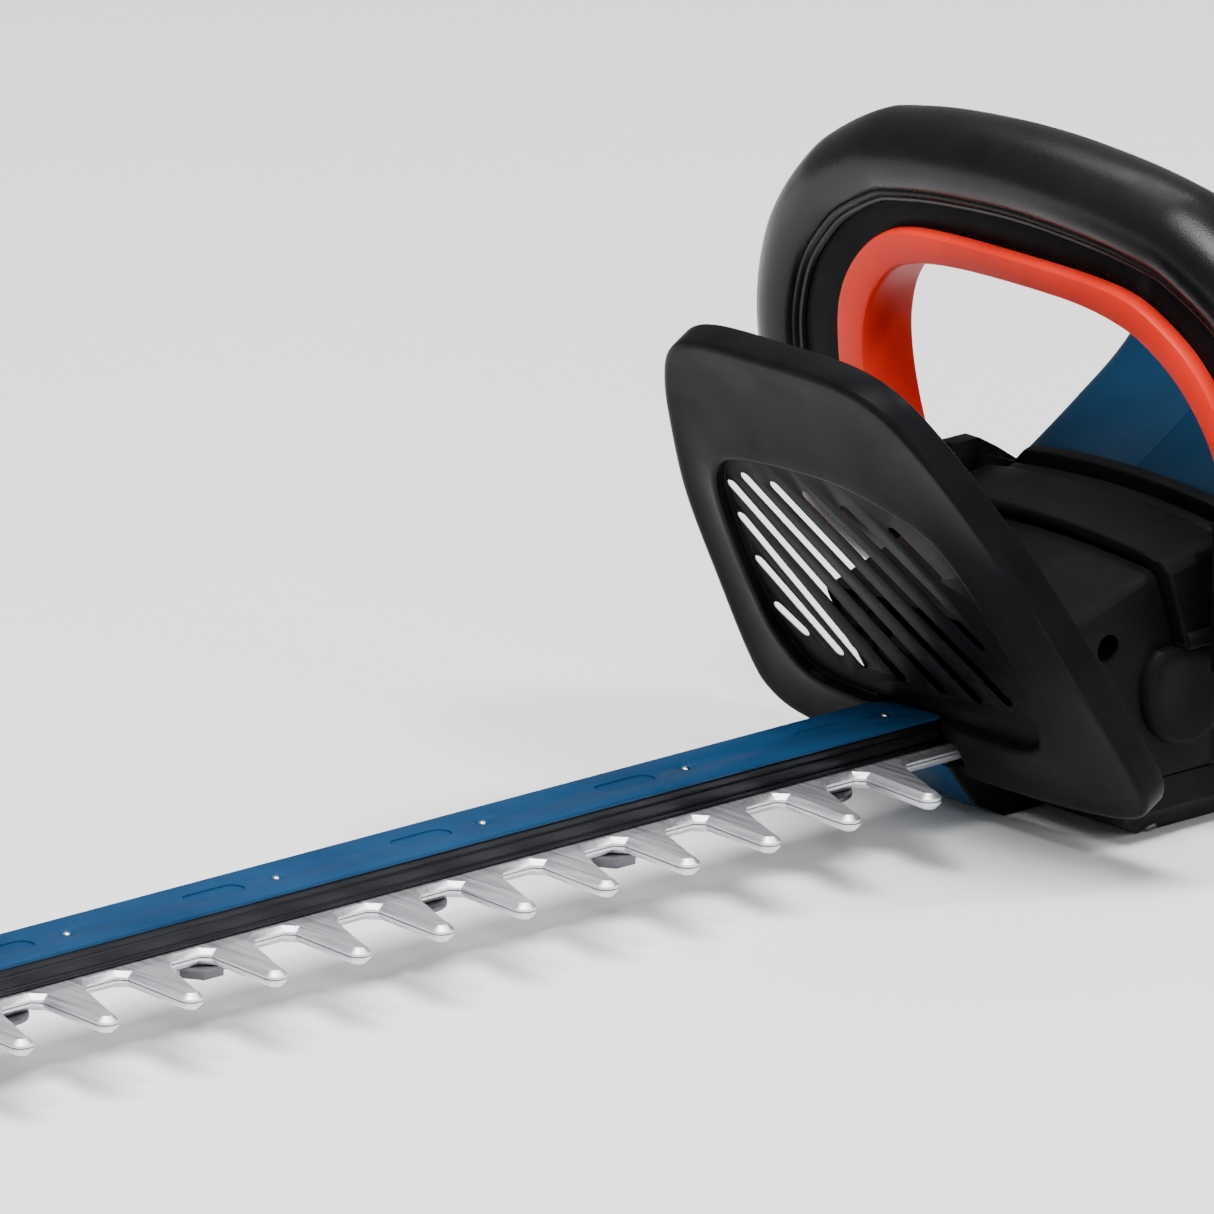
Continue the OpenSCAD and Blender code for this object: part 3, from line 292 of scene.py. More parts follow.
def spline(points, steps, closed=False):
    """Points of a Catmull-Rom curve, the same curve as in the CAD model but finer."""
    p = np.array(points, float)
    n, out = len(p), []
    for i in range(n if closed else n - 1):
        a, b, c, d = (p[(i + k) % n] if closed else p[min(max(i + k, 0), n - 1)]
                      for k in (-1, 0, 1, 2))
        for j in range(steps):
            t = j / steps
            out.append(0.5 * (2 * b + (c - a) * t + (2 * a - 5 * b + 4 * c - d) * t * t
                              + (3 * b - a - 3 * c + d) * t ** 3))
    if not closed:
        out.append(p[-1])
    return np.array(out)


def both_sides(half):
    """A half outline with its mirror image, from the top round by +Y."""
    return list(half) + [[-y, z] for y, z in reversed(half) if y > 0]


def normals2d(p, closed=True):
    """Unit normals, to the right of the direction of travel."""
    p = np.asarray(p, float)
    if closed:
        t = np.roll(p, -1, 0) - np.roll(p, 1, 0)
    else:
        t = np.gradient(p, axis=0)
    t /= np.maximum(np.linalg.norm(t, axis=1), 1e-9)[:, None]
    return np.stack([t[:, 1], -t[:, 0]], 1)


def radial(points, centre, count):
    """A closed outline resampled at equal angles round centre, clockwise from the top."""
    q = np.asarray(points, float) - centre
    angle = np.arctan2(q[:, 0], q[:, 1]) % (2 * math.pi)
    order = np.argsort(angle)
    angle, radius = angle[order], np.linalg.norm(q, axis=1)[order]
    want = np.linspace(0, 2 * math.pi, count, endpoint=False)
    r = np.interp(want, np.r_[angle[-1] - 2 * math.pi, angle, angle[0] + 2 * math.pi],
                  np.r_[radius[-1], radius, radius[0]])
    return np.stack([centre[0] + r * np.sin(want), centre[1] + r * np.cos(want)], 1)


def mesh_object(name, verts, faces, frame_matrix=None):
    """A mesh object in metres from points in millimetres."""
    mesh = bpy.data.meshes.new(name)
    v = np.asarray(verts, float) * MM
    if frame_matrix is not None:
        v = v @ np.array(frame_matrix.to_3x3()).T + np.array(frame_matrix.translation)
    mesh.from_pydata([tuple(c) for c in v], [], faces)
    bm = bmesh.new()
    bm.from_mesh(mesh)
    bmesh.ops.remove_doubles(bm, verts=bm.verts, dist=1e-6)
    bmesh.ops.recalc_face_normals(bm, faces=bm.faces)
    if bm.calc_volume(signed=True) < 0:
        bmesh.ops.reverse_faces(bm, faces=bm.faces)
    bm.to_mesh(mesh)
    bm.free()
    obj = bpy.data.objects.new(name, mesh)
    bpy.context.scene.collection.objects.link(obj)
    return obj


def loft(rings):
    """Vertices and faces of a skin over closed rings of equal length, capped at both ends."""
    m, n = len(rings[0]), len(rings)
    verts = np.concatenate([np.asarray(r, float) for r in rings])
    faces = []
    for i in range(n - 1):
        for j in range(m):
            a, b = i * m, (i + 1) * m
            k = (j + 1) % m
            faces.append((a + j, a + k, b + k, b + j))
    faces += [tuple(range(m))[::-1], tuple(range((n - 1) * m, n * m))]
    return verts, faces


def joined(parts):
    """Several (vertices, faces) shapes as one."""
    verts, faces, base = [], [], 0
    for v, f in parts:
        verts.append(np.asarray(v, float))
        faces += [tuple(base + i for i in face) for face in f]
        base += len(v)
    return np.concatenate(verts), faces


def across_axis(uv, depth, axis):
    """Flat points put at a depth along an axis."""
    e = np.full(len(uv), depth)
    columns = {"x": (e, uv[:, 0], uv[:, 1]), "y": (uv[:, 0], e, uv[:, 1]),
               "z": (uv[:, 0], uv[:, 1], e)}
    return np.stack(columns[axis], 1)


def prism(outline, depth0, depth1, axis="x"):
    """An outline made solid between two depths; outline is (Y, Z), (X, Z) or (X, Y)."""
    uv = np.asarray(outline, float)
    return loft([across_axis(uv, depth, axis) for depth in (depth0, depth1)])


def capsule(a, b, r, steps=8):
    """The outline of a slot with round ends from a to b."""
    a, b = np.array(a, float), np.array(b, float)
    base = math.atan2(*(b - a)[::-1])
    out = []
    for centre, start in ((b, base - math.pi / 2), (a, base + math.pi / 2)):
        out += [centre + r * np.array([math.cos(start + k * math.pi / steps),
                                       math.sin(start + k * math.pi / steps)])
                for k in range(steps + 1)]
    return np.array(out)


def circle(r, count):
    """Points round the origin, anticlockwise."""
    return np.array([[r * math.cos(2 * math.pi * k / count), r * math.sin(2 * math.pi * k / count)]
                     for k in range(count)])


def lathe(profile, centre, axis="z", count=40):
    """A turned solid: profile is (radius, height) pairs from the bottom of the axis up."""
    return loft([across_axis(circle(max(r, 0.001), count), h, axis) + centre for r, h in profile])


def turned(x, z, r, y0, y1):
    """A plain round solid along Y between two distances."""
    return lathe([(r, min(y0, y1)), (r, max(y0, y1))], (x, 0, z), "y", 28)


def block(u0, v0, u1, v1, depth0, depth1, axis="x"):
    """A prism over the rectangle from (u0, v0) to (u1, v1)."""
    return prism([(u0, v0), (u1, v0), (u1, v1), (u0, v1)], depth0, depth1, axis)


def apply_modifiers(obj):
    """The object's mesh becomes what its modifiers make of it."""
    graph = bpy.context.evaluated_depsgraph_get()
    graph.update()
    mesh = bpy.data.meshes.new_from_object(obj.evaluated_get(graph))
    obj.modifiers.clear()
    obj.data = mesh


def cut(obj, *shapes, matrix=None, operation="DIFFERENCE"):
    """Cuts shapes, each (vertices, faces), out of the object."""
    tool = mesh_object("cutter", *joined(shapes), matrix)
    mod = obj.modifiers.new("cut", "BOOLEAN")
    mod.operation, mod.solver, mod.object = operation, "EXACT", tool
    apply_modifiers(obj)
    bpy.data.objects.remove(tool)


def piece(obj, body, slot_name, *replaced, edge=0.0, segments=2, limit=32):
    """Gives a new piece its body, slot and rounded edges, and hides the CAD nodes that it stands for.
    """
    obj.data.materials.clear()
    obj.data.materials.append(MATERIALS[slot_name])
    finish_edges(obj, edge, segments, limit)
    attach(obj, body)
    if replaced:
        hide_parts(*replaced)


# ---------- hand guard ----------


def local_frame(at, lean):
    """A plane's own frame in metres: local X rearwards, leaning forward by lean degrees."""
    return Matrix.Translation(Vector(at) * MM) @ Matrix.Rotation(math.radians(-lean), 4, "Y")


GUARD = local_frame((70, 0, 25), GUARD_LEAN)
GUARD_THICK, LUG_BACK = 9, 12
guard_half = [(0, 144.5), (28, 143.5), (43, 137), (53, 123), (62, 101), (70, 75), (75, 42),
              (78.5, 13), (77, 0), (67, -8), (40, -12), (0, -12.7)]
guard_panel = [(0, 100), (34, 98), (48, 90), (55, 72), (59, 42), (58, 22), (46, 10), (0, 8),
               (-32, 8), (-43, 18), (-45, 42), (-43, 70), (-36, 88), (-20, 96)]
guard_slots = [((56, 34), (50, 27)), ((54, 52), (38, 23)), ((52, 69), (29, 21)),
               ((49, 82), (14, 20)), ((41, 87), (-2, 20)), ((29, 87), (-17, 21)),
               ((16, 87), (-31, 24)), ((1, 86), (-31, 45)), ((-17, 83), (-27, 70))]


def ring_at(x, outline):
    """A (Y, Z) outline set at one distance along X."""
    return np.column_stack([np.full(len(outline), x), outline])


def build_guard():
    """A wide flange with a rolled rim round a sunken slotted panel."""
    count, centre = 420, np.array([5.0, 52.0])
    rim = radial(spline(both_sides(guard_half), 24, True), centre, count)
    panel = radial(spline(guard_panel, 16, True), centre, count)
    rim_n, panel_n = normals2d(rim), normals2d(panel)

    front_panel, back_panel, slot_r = 3.2, 6.2, 2.1
    # from the sunken panel up its wall, over the flange, round the rim and along the back
    rings = [ring_at(x, panel + d * panel_n) for x, d in
             ((front_panel, 1.2), (front_panel, 0.5), (2.9, 0.15), (2.2, 0), (0.9, -0.1), (0.3, -0.5),
              (0.05, -1.2))]
    inner, outer = panel - 2.0 * panel_n, rim + 2.6 * rim_n
    for t in np.linspace(0, 1, 12):
        rings.append(ring_at(0.7 * math.sin(math.pi * t) ** 0.8, inner * (1 - t) + outer * t))
    for x, d in ((0.0, 2.0), (0.1, 1.4), (0.35, 0.85), (0.75, 0.4), (1.3, 0.1), (2, 0), (5, 0),
                 (8.1, 0), (8.7, 0.25), (GUARD_THICK, 0.8), (GUARD_THICK, 2.2), (8.7, 2.8),
                 (8.1, 3), (5.2, 3), (4.2, 3.5), (3.6, 4.4)):
        rings.append(ring_at(x, rim + d * rim_n))
    for t in np.linspace(0, 1, 8):
        rings.append(ring_at(3.4 + 0.6 * math.sin(math.pi * t),
                             (rim + 5 * rim_n) * (1 - t) + (panel - 3.6 * panel_n) * t))
    rings += [ring_at(4.2, panel - 3 * panel_n), ring_at(5.6, panel - 3 * panel_n),
              ring_at(back_panel, panel - 2.4 * panel_n)]
    obj = mesh_object("hand_guard_shell", *loft(rings), GUARD)
    # the slots are moulded on a slant, so they stay open to a low, sideways view
    slant = np.array([1.5, -1.2])
    for a, b in guard_slots:
        slot = capsule(a, b, slot_r)
        cut(obj, loft([ring_at(x, slot + slant * (x - front_panel)) for x in (2.4, 7.4)]),
            matrix=GUARD)
    # openings for the rail and for the blades
    cut(obj, block(2, -20, 29, 34.9, 40, 100))
    cut(obj, block(-0.2, 18.3, 12, 26.3, 40, 100))
    lugs = [lathe([(4.6, front_panel), (5, 5), (5, 11.6), (4.6, LUG_BACK)], (0, y, z), "x")
            for y, z in ((-36, 29), (26, 29), (-33, 3), (34, 3))]
    cut(obj, *lugs, matrix=GUARD, operation="UNION")
    piece(obj, "chassis", "guard_black", "hand_guard", edge=0.35, limit=40)


build_guard()


# ---------- bale handle ----------

BALE = local_frame((120.3, 0, 70), BALE_LEAN)
FLANGE_HALF = 10
BAR_GAP, LIP_OVERLAP, LIP_BACK = 4.5, 0.9, -10.3
bale_half = [(0, 128.6), (31, 127), (53, 124), (66, 120.6), (84, 111), (95, 102), (107, 88),
             (115, 72), (119.5, 54), (120, 29), (115, 6), (101, -12), (80, -20), (67, -20.5)]
bar_outer_far = [(0, 94.7), (26, 94.4), (44, 93), (56, 89), (67, 79.5), (74, 68), (77, 55),
                 (77.4, 40), (75, 20), (74, 12)]
bar_outer_near = [(0, 94.7), (26, 94.4), (44, 92.6), (56, 87.5), (68, 78.6), (76.5, 66.5),
                  (81, 55), (83.5, 42), (83, 22), (82, 12)]
bar_inner_far = [(0, 87.2), (24, 86.6), (40, 84.5), (51, 80.5), (60.5, 71), (65.5, 60),
                 (67.4, 48), (67, 34), (65, 20), (64, 12)]
bar_inner_near = [(0, 87.2), (24, 86.6), (40, 84), (51, 79.6), (62, 71), (69.5, 60.5),
                  (73.6, 50), (75.6, 37), (75.4, 22), (74.4, 12)]


def over_top(far, near):
    """An open outline from the -Y leg over the top to the +Y leg."""
    return spline([(-y, z) for y, z in near[:0:-1]] + list(far), 9)


def swept(outline, section):
    """A section of (distance inwards, depth along X) pairs carried along an open outline."""
    inward = normals2d(outline, closed=False)
    rings = []
    for p, n in zip(outline, inward):
        rings.append([(depth, p[0] + d * n[0], p[1] + d * n[1]) for d, depth in section])
    return rings


def build_bale():
    """The bale handle: soft tube, hard flange, two screwed feet and the red switch bar."""
    outer = over_top(bale_half, bale_half)
    # the soft tube: round outside, two fine creases where it meets the flange
    half_section = [(0.0, 0.0), (0.35, 3.2), (1.5, 6.6), (3.4, 9.8), (6.2, 12.6), (9.6, 14.4),
                    (13, 15), (16.2, 14.6), (18.4, 13.6), (19.6, 12.7), (19.9, 12.0),
                    (20.3, 12.3), (21.1, 12.4), (21.8, 11.9), (22.1, 11.3), (22.5, 11.5),
                    (23.3, 11.3), (23.9, 10.6), (24.0, 9.6)]
    section = [(d, x) for d, x in half_section[::-1]] + [(d, -x) for d, x in half_section[1:]]
    grip = mesh_object("bale_grip_sleeve", *loft(swept(outer, section)), BALE)
    piece(grip, "chassis", "soft_black", "bale_handle_grip")

    # the hard frame: a flange inside the tube, and a pad on each side of the housing
    edge_line = outer + 23.6 * normals2d(outer, closed=False)
    bar_out = over_top(bar_outer_far, bar_outer_near)
    ring = np.concatenate([edge_line, [(58, 4), (54, 4), (54, 12)], bar_out[::-1],
                           [(-54, 12), (-54, 4), (-58, 4)]])
    flange = mesh_object("bale_frame_flange", *prism(ring, -FLANGE_HALF, FLANGE_HALF), BALE)
    # the switch's pocket, and room over the shoulder on both sides
    cut(flange, block(-9, 94, 9, 101.2, -4, 4), matrix=BALE)
    for side in (-1, 1):
        y0, y1 = sorted((side * 45, side * 77))
        cut(flange, block(y0, -30, y1, 21, -20, 2), matrix=BALE)
    bm = bmesh.new()
    bm.from_mesh(flange.data)
    bmesh.ops.triangulate(bm, faces=[f for f in bm.faces if len(f.verts) > 4])
    bm.to_mesh(flange.data)
    bm.free()
    piece(flange, "chassis", "case_black", "bale_handle_frame", edge=0.7, limit=40)
    screws_at = ((123, 78), (142, 78), (142, 64))
    for side, word in SIDES:
        y0, y1 = sorted((side * 52.2, side * 58.0))
        pad = [(118.4, 49), (152.3, 49), (152.3, 71), (147, 80), (135, 88), (128, 92),
               (118.4, 92)]
        foot = mesh_object(f"bale_foot_{word}", *prism(pad, y0, y1, "y"))
        b0, b1 = sorted((side * 47.2, side * 53.2))
        cut(foot, prism([(127, 62.2), (151, 62.2), (140, 72), (138, 84), (127, 88.2)], b0, b1, "y"),
            operation="UNION")
        holes = [lathe([(2, -60), (2, 60)], (x, 0, z), "y") for x, z in screws_at]
        sink0, sink1 = sorted((side * 55.2, side * 65))
        sinks = [lathe([(3.8, sink0), (3.8, sink1)], (x, 0, z), "y") for x, z in screws_at]
        cut(foot, *holes)
        cut(foot, *sinks)
        piece(foot, "chassis", "case_black", edge=0.7, limit=35)

    # the red switch bar: a wide lip in front of the flange, and a body that sinks into it
    centre = over_top(bar_outer_far, bar_outer_near)
    inner = over_top(bar_inner_far, bar_inner_near)
    rings = []
    n_out, n_in = normals2d(centre, closed=False), normals2d(inner, closed=False)
    for p, q, a, b in zip(centre, inner, n_out, n_in):
        lip, deep = p - LIP_OVERLAP * a, p + BAR_GAP * a
        loop = [(4.5, *(deep + 0.2 * a)), (4.5, *(q - 1.2 * b)), (4.2, *(q - 0.4 * b)),
                (3.4, *q), (-6, *q), (-12.6, *q), (-13.8, *(q - 0.25 * b)),
                (-14.6, *(q - 0.8 * b)), (-15, *(q - 1.8 * b)), (-15, *(lip + 1.6 * a)),
                (-14.7, *(lip + 0.6 * a)), (-13.8, *(lip + 0.1 * a)), (-12.6, *lip),
                (LIP_BACK, *lip), (LIP_BACK, *deep), (-4, *deep)]
        rings.append(loop)
    bar = mesh_object("bale_switch_bar_moulding", *loft(rings), BALE)
    piece(bar, "switch_bar_body", "switch_red", "bale_switch_bar", edge=0.3, limit=50)


build_bale()


# ---------- blade bar ----------

STATION = 75
RIVETS = [58 - STATION * i for i in range(8)]
BOLTS = [25 - STATION * i for i in range(7)]
STRIP_Y0, STRIP_Y1, STRIP_TIP, STRIP_THICK = 1.0, 24.5, -482, 2.2
BAR_Y0, BAR_Y1, BAR_Z0, BAR_Z1, BAR_TIP, BAR_Y = 3.6, 26.4, 25.3, 32.9, -484, 15.0
TOOTH_FIRST, TOOTH_PITCH, TOOTH_COUNT, TOOTH_LENGTH = 37, 30, 18, 29.7


def tooth(x):
    """One tooth's outline, from its rear root round the rounded tip to its front root."""
    lean, root, r = 5.8, 14.7, 3.4
    cy = STRIP_Y0 - TOOTH_LENGTH + r
    out = [(x + lean + root / 2 + 3, STRIP_Y0), (x + lean + root / 2, STRIP_Y0 - 2.5)]
    out += [(x + r * math.cos(a), cy + r * math.sin(a)) for a in np.linspace(0, -math.pi, 17)]
    return out + [(x + lean - root / 2, STRIP_Y0 - 2.5), (x + lean - root / 2 - 2, STRIP_Y0)]


def build_blade(name, node, z0, facet_up):
    """A toothed strip whose edges are ground back on its outer side."""
    yoke0, yoke1, yoke_half, yoke_y = 101.3, 148.7, 10.2, 12.8
    outline = [(STRIP_TIP, STRIP_Y1), (yoke0, STRIP_Y1), (yoke0, yoke_y + yoke_half + 5.5),
               (yoke1, yoke_y + yoke_half + 5.5), (yoke1, yoke_y - yoke_half - 5.5),
               (yoke0, yoke_y - yoke_half - 5.5), (yoke0, STRIP_Y0)]
    for k in range(TOOTH_COUNT):
        outline += tooth(TOOTH_FIRST - TOOTH_PITCH * k)
    outline = np.array(outline + [(STRIP_TIP, STRIP_Y0)])
    n = normals2d(outline)
    ground = np.where((outline[:, 1] < STRIP_Y0 + 0.1)[:, None], 1.5, 0.25)
    inner = outline + n * ground
    levels = [(0, outline), (0.75, outline), (STRIP_THICK, inner)]
    if not facet_up:
        levels = [(0, inner), (1.45, outline), (STRIP_THICK, outline)]
    rings = [np.column_stack([p, np.full(len(p), z0 + h)]) for h, p in levels]
    obj = mesh_object(name, *loft(rings))
    slots = [prism(capsule((x - 7.5, STRIP_Y0 + 8), (x + 7.5, STRIP_Y0 + 8), 4.3), z0 - 1,
                   z0 + 4, "z") for x in BOLTS]
    crank_window = block(107.3, 2.6, 142.7, 23, z0 - 1, z0 + 4, "z")
    cut(obj, *slots, crank_window)
    piece(obj, node + "_body", "blade_steel", node, edge=0.12, segments=1, limit=50)


build_blade("upper_toothed_blade", "upper_blade", 22.8, True)
build_blade("lower_toothed_blade", "lower_blade", 20.3, False)


def build_cover():
    """The painted cover strip: rounded edges, pressed dimples at the rivets, shallow recesses."""
    z, t, edge, x1, corner_r = BAR_Z1, 1.1, 0.45, 68, 7.8
    corner = [(x1 - corner_r + corner_r * math.cos(a), BAR_Y1 - corner_r + corner_r * math.sin(a))
              for a in np.linspace(0, math.pi / 2, 10)]
    outline = np.array([(BAR_TIP, BAR_Y0), (x1, BAR_Y0), *corner, (BAR_TIP, BAR_Y1)])
    n = -normals2d(outline)
    rings = []
    for h, inset in ((0, 0), (t - edge, 0), (t - edge * 0.45, edge * 0.2), (t - 0.1, edge * 0.6),
                     (t, edge * 1.3)):
        p = outline + n * inset
        rings.append(np.column_stack([p, np.full(len(p), z + h)]))
    obj = mesh_object("rail_cover_strip", *loft(rings))
    recess = [prism(capsule((x - 29, BAR_Y), (x - 16, BAR_Y), 3.6, 10), z + 0.55, z + 3, "z")
              for x in RIVETS[:-1]]
    cut(obj, *recess)
    cut(obj, *[lathe([(1.3, z - 1), (1.3, z + 0.2), (3.0, z + t + 0.02), (3.0, z + 3)],
                     (x, BAR_Y, 0)) for x in RIVETS])
    piece(obj, "chassis", "cover_blue", "rail_cover", edge=0.22, limit=38)
    heads = [lathe([(1.25, z - 0.3), (1.25, z + 0.55), (1.15, z + 0.8), (0.85, z + 1.05),
                    (0.4, z + 1.2), (0.001, z + 1.22)], (x, BAR_Y, 0), count=24) for x in RIVETS]
    rivets = mesh_object("cover_rivet_heads", *joined(heads))
    piece(rivets, "chassis", "bright_screw", "cover_rivets")


build_cover()


def build_rail():
    """The extruded bar: a box with rolled edges and two drawn grooves along its visible side."""
    y0, y1, z0, z1, r = BAR_Y0, BAR_Y1, BAR_Z0, BAR_Z1, 0.5
    section = [(y0 + r, z0), (y1 - r, z0), (y1, z0 + r), (y1, z1 - r), (y1 - r, z1),
               (y0 + r, z1), (y0, z1 - r), (y0, z1 - 1.9), (y0 + 0.35, z1 - 2.1),
               (y0 + 0.35, z1 - 2.5), (y0, z1 - 2.7), (y0, z0 + 2.2), (y0 + 0.35, z0 + 2.0),
               (y0 + 0.35, z0 + 1.6), (y0, z0 + 1.4), (y0, z0 + r)]
    obj = mesh_object("blade_rail_bar", *prism(section, BAR_TIP, 93))
    piece(obj, "chassis", "rail_black", "blade_rail", edge=0.15, limit=25)


build_rail()


# ---------- gear case, shoulder band and collar ----------

CASE_HALF, CASE_LOW, CASE_WALL = 44, 18.4, 3
BAND_X0, BAND_X1, BAND_LOW = 104, 126, 57
SLOPE_TOP = 81.0


def roof(w, bottom, top, chamfer, crown):
    """Half of a case section from its crowned top down the +Y side, as (Y, Z) points."""
    flat, steps = w - chamfer, 14
    pts = [(flat * k / steps, top + crown * (1 - (k / steps) ** 2)) for k in range(steps + 1)]
    return pts + [(w, top - chamfer), (w, bottom)]


def arch(x, half):
    """A whole open section at x from the -Y bottom over the top to the +Y bottom."""
    return [(x, -y, z) for y, z in half[:0:-1]] + [(x, y, z) for y, z in half]


def shell_ring(x, outer, inner, slope=0.0):
    """A C-shaped ring between two sections; its sides lean back below SLOPE_TOP."""
    ring = arch(x, outer) + arch(x, inner)[::-1]
    return [(px + slope * max(0, SLOPE_TOP - z), y, z) for px, y, z in ring]


def build_band():
    """The shoulder band over the case: rolled front lip, crisp upper corners, side rails."""
    # distance along X, half width, height at the sides, corner chamfer
    stations = [(BAND_X0, 48.9, 82.0, 3.9), (104.4, 49.6, 82.4, 3.8), (105.2, 50, 82.7, 3.8),
                (109.0, 50, 83.2, 3.8), (117.0, 50, 84.9, 3.8), (124.6, 50, 86.0, 3.8),
                (125.6, 49.6, 85.9, 3.8), (BAND_X1, 49, 85.4, 3.8)]
    rings = []
    for x, w, top, chamfer in stations:
        outer = roof(w, BAND_LOW, top, chamfer, 3.6)
        inner_top = 80.2 + (x - BAND_X0) / (BAND_X1 - BAND_X0) * 2.8
        inner = roof(44.3 + 0.6 * max(0, 105 - x), BAND_LOW, inner_top, 5, 2.6)
        rings.append(shell_ring(x, outer, inner, 0.30 * (BAND_X1 - x) / (BAND_X1 - BAND_X0)))
    band = mesh_object("shoulder_band_shell", *loft(rings))
    piece(band, "chassis", "case_black", "shoulder_band", edge=0.3, limit=24)
    for side, word in SIDES:
        section = [(44.15, 56.3), (51.2, 56.3), (52.1, 57.2), (52.1, 59.4), (50.4, 61.2),
                   (44.15, 61.2)]
        rail = prism([(side * y, z) for y, z in section], 111, 200)
        obj = mesh_object(f"shoulder_rail_{word}", *rail)
        piece(obj, "chassis", "case_black", edge=0.7, segments=3)


build_band()


def build_collar():
    """Two ribs with a groove between them, where the case meets the housing."""
    # distance along X, half width, height at the sides
    stations = [(BAND_X1, 45.2, 85.2), (126.4, 46, 86.0), (130.4, 46, 87.0), (130.9, 45.4, 86.6),
                (131.1, 44, 85.4), (132.9, 44, 85.8), (133.1, 45.4, 89.0), (133.6, 46, 90.0),
                (137.4, 46, 91.0), (138.0, 45.2, 90.4)]
    rings = []
    for x, w, top in stations:
        rings.append(shell_ring(x, roof(w, 62, top, 6, 2.5), roof(41, 62, 84.3, 5, 0.2)))
    obj = mesh_object("collar_rings", *loft(rings))
    piece(obj, "chassis", "case_black", "collar", edge=0.35, limit=24)


build_collar()


def build_case():
    """The gear case: a sloping roof, two-step side chamfers and a round boss on each side."""
    w, low, inside = CASE_HALF, CASE_LOW, CASE_HALF - CASE_WALL
    rings = []
    for x, top in ((40, 58), (109, 80), (BAND_X1, 82)):
        half = roof(w - 0.5, low, top, 1.7, 2.4)
        half = half[:-2] + [(w - 0.5, top - 1.9), (w, top - 5.6), (w, low + 1), (w - 1, low)]
        inner = roof(inside, low, top - CASE_WALL, 5, 2.4)
        inner = inner[:-2] + [(inside, top - 8), (inside, top - 10), (inside, low + 1), (inside, low)]
        rings.append(shell_ring(x, half, inner))
    obj = mesh_object("gear_case_shell", *loft(rings))
    cut(obj, block(-90, -60, 90, 200, -80, LUG_BACK), matrix=GUARD)
    # the wall behind the hand guard closes the front
    outline = [(-w + 0.4, -12), (w - 0.4, -12), (w - 0.4, 36.5), (inside, 38.4), (20, 40.4),
               (-20, 40.4), (-inside, 38.4), (-w + 0.4, 36.5)]
    face = mesh_object("gear_case_front", *prism(outline, LUG_BACK, LUG_BACK + CASE_WALL), GUARD)
    cut(face, block(3.4, 20, 26.6, 33.2, 60, 94))
    cut(face, block(-0.2, 17, 26.6, 25.4, 60, 94))
    cut(face, block(-60, -10, 60, low, 20, 120))
    piece(face, "chassis", "case_black", edge=0.3)
    back, top = 200, 56
    tub = mesh_object("gear_case_tub", *joined([
        block(BAND_X1, low, back, top, -w, -inside, "y"),
        block(BAND_X1, low, back, top, inside, w, "y"),
        block(-inside, low, inside, top, back - CASE_WALL, back)]))
    piece(tub, "chassis", "case_black", edge=0.8, segments=3)
    for side, word in SIDES:
        x, z, hole_r = 87, 60, 4
        cut(obj, turned(x, z, hole_r, side * 34, side * 60))
        cup = mesh_object(f"side_screw_cup_{word}", *turned(x, z, 5.4, side * 36, side * 42.5))
        cut(cup, turned(x, z, hole_r, side * 36.8, side * 60))
        piece(cup, "chassis", "case_black")
        profile = [(17.0, 43.4), (17.0, 45.0), (16.7, 46.3), (15.8, 47.3), (14.4, 47.9),
                   (12.6, 48.0), (9.0, 47.5), (5.0, 47.1), (0.01, 46.9)]
        profile = profile if side > 0 else [(r, -h) for r, h in profile[::-1]]
        boss = mesh_object(f"case_boss_{word}", *lathe(profile, (116, 0, 44), "y", 72))
        # flat under the rail of the shoulder band
        cut(boss, block(-60, 56.1, 60, 70, 90, 140))
        piece(boss, "chassis", "case_black", edge=0.2)
    piece(obj, "chassis", "case_black", "gear_housing", edge=0.22, limit=20)


build_case()


# ---------- housing halves ----------

SEAM, WALL, SHELL_EDGE, WELL_R = 0.12, 3.0, 0.45, 4.4
# distance along X, half width, top, bottom, squareness
body_stations = spline([
    (138, 46, 91.6, 58, 6), (158, 47.5, 104, 58, 5.6), (178, 49, 119, 57.5, 5),
    (200, 50, 146, 57.2, 4.2), (222, 48, 167, 49, 3.6), (252, 42, 181, 43, 3.2),
    (292, 37, 187, 42, 2.8), (304, 33, 184, 47, 2.6), (310, 26, 176, 58, 2.4)], 7)
# X, Z, depth of the head, end of the post
body_screws = [(194, 72, 38, 47), (200, 126, 38, 46), (262, 58, 20, 30), (262, 164, 24, 32)]
handle_screws = [(364, 163, 8, 15), (473, 92, 8, 15), (330, 66, 22, 31), (450, 66, 22, 31)]
lock_off_opening = block(303.2, 169.8, 318.8, 195, -6.3, 6.3, "y")


def oval_half(centre, up, w, h, power, side):
    """Half of a squared-off oval, from the seam at the top round one side to the bottom."""
    points, steps = [], 28
    for k in range(steps + 1):
        a = math.radians(90 - 180 * k / steps)
        y = max(SEAM, w * abs(math.cos(a)) ** (2 / power))
        v = h * math.copysign(abs(math.sin(a)) ** (2 / power), math.sin(a))
        points.append((centre[0] + up[0] * v, side * y, centre[1] + up[1] * v))
    return points


def half_shell(stations, side):
    """A skin over (centre, up, width, height, power) stations, with a wall inside it."""
    return loft([oval_half(c, up, w, h, n, side)
                 + oval_half(c, up, w - WALL, h - WALL, n, side)[::-1]
                 for c, up, w, h, n in stations])


def rounded(x0, z0, x1, z1, r):
    """A rectangle's outline with round corners."""
    out, steps = [], 6
    for cx, cz, start in ((x1 - r, z1 - r, 0), (x0 + r, z1 - r, 90), (x0 + r, z0 + r, 180),
                          (x1 - r, z0 + r, 270)):
        for k in range(steps + 1):
            a = math.radians(start + 90 * k / steps)
            out.append((cx + r * math.cos(a), cz + r * math.sin(a)))
    return out


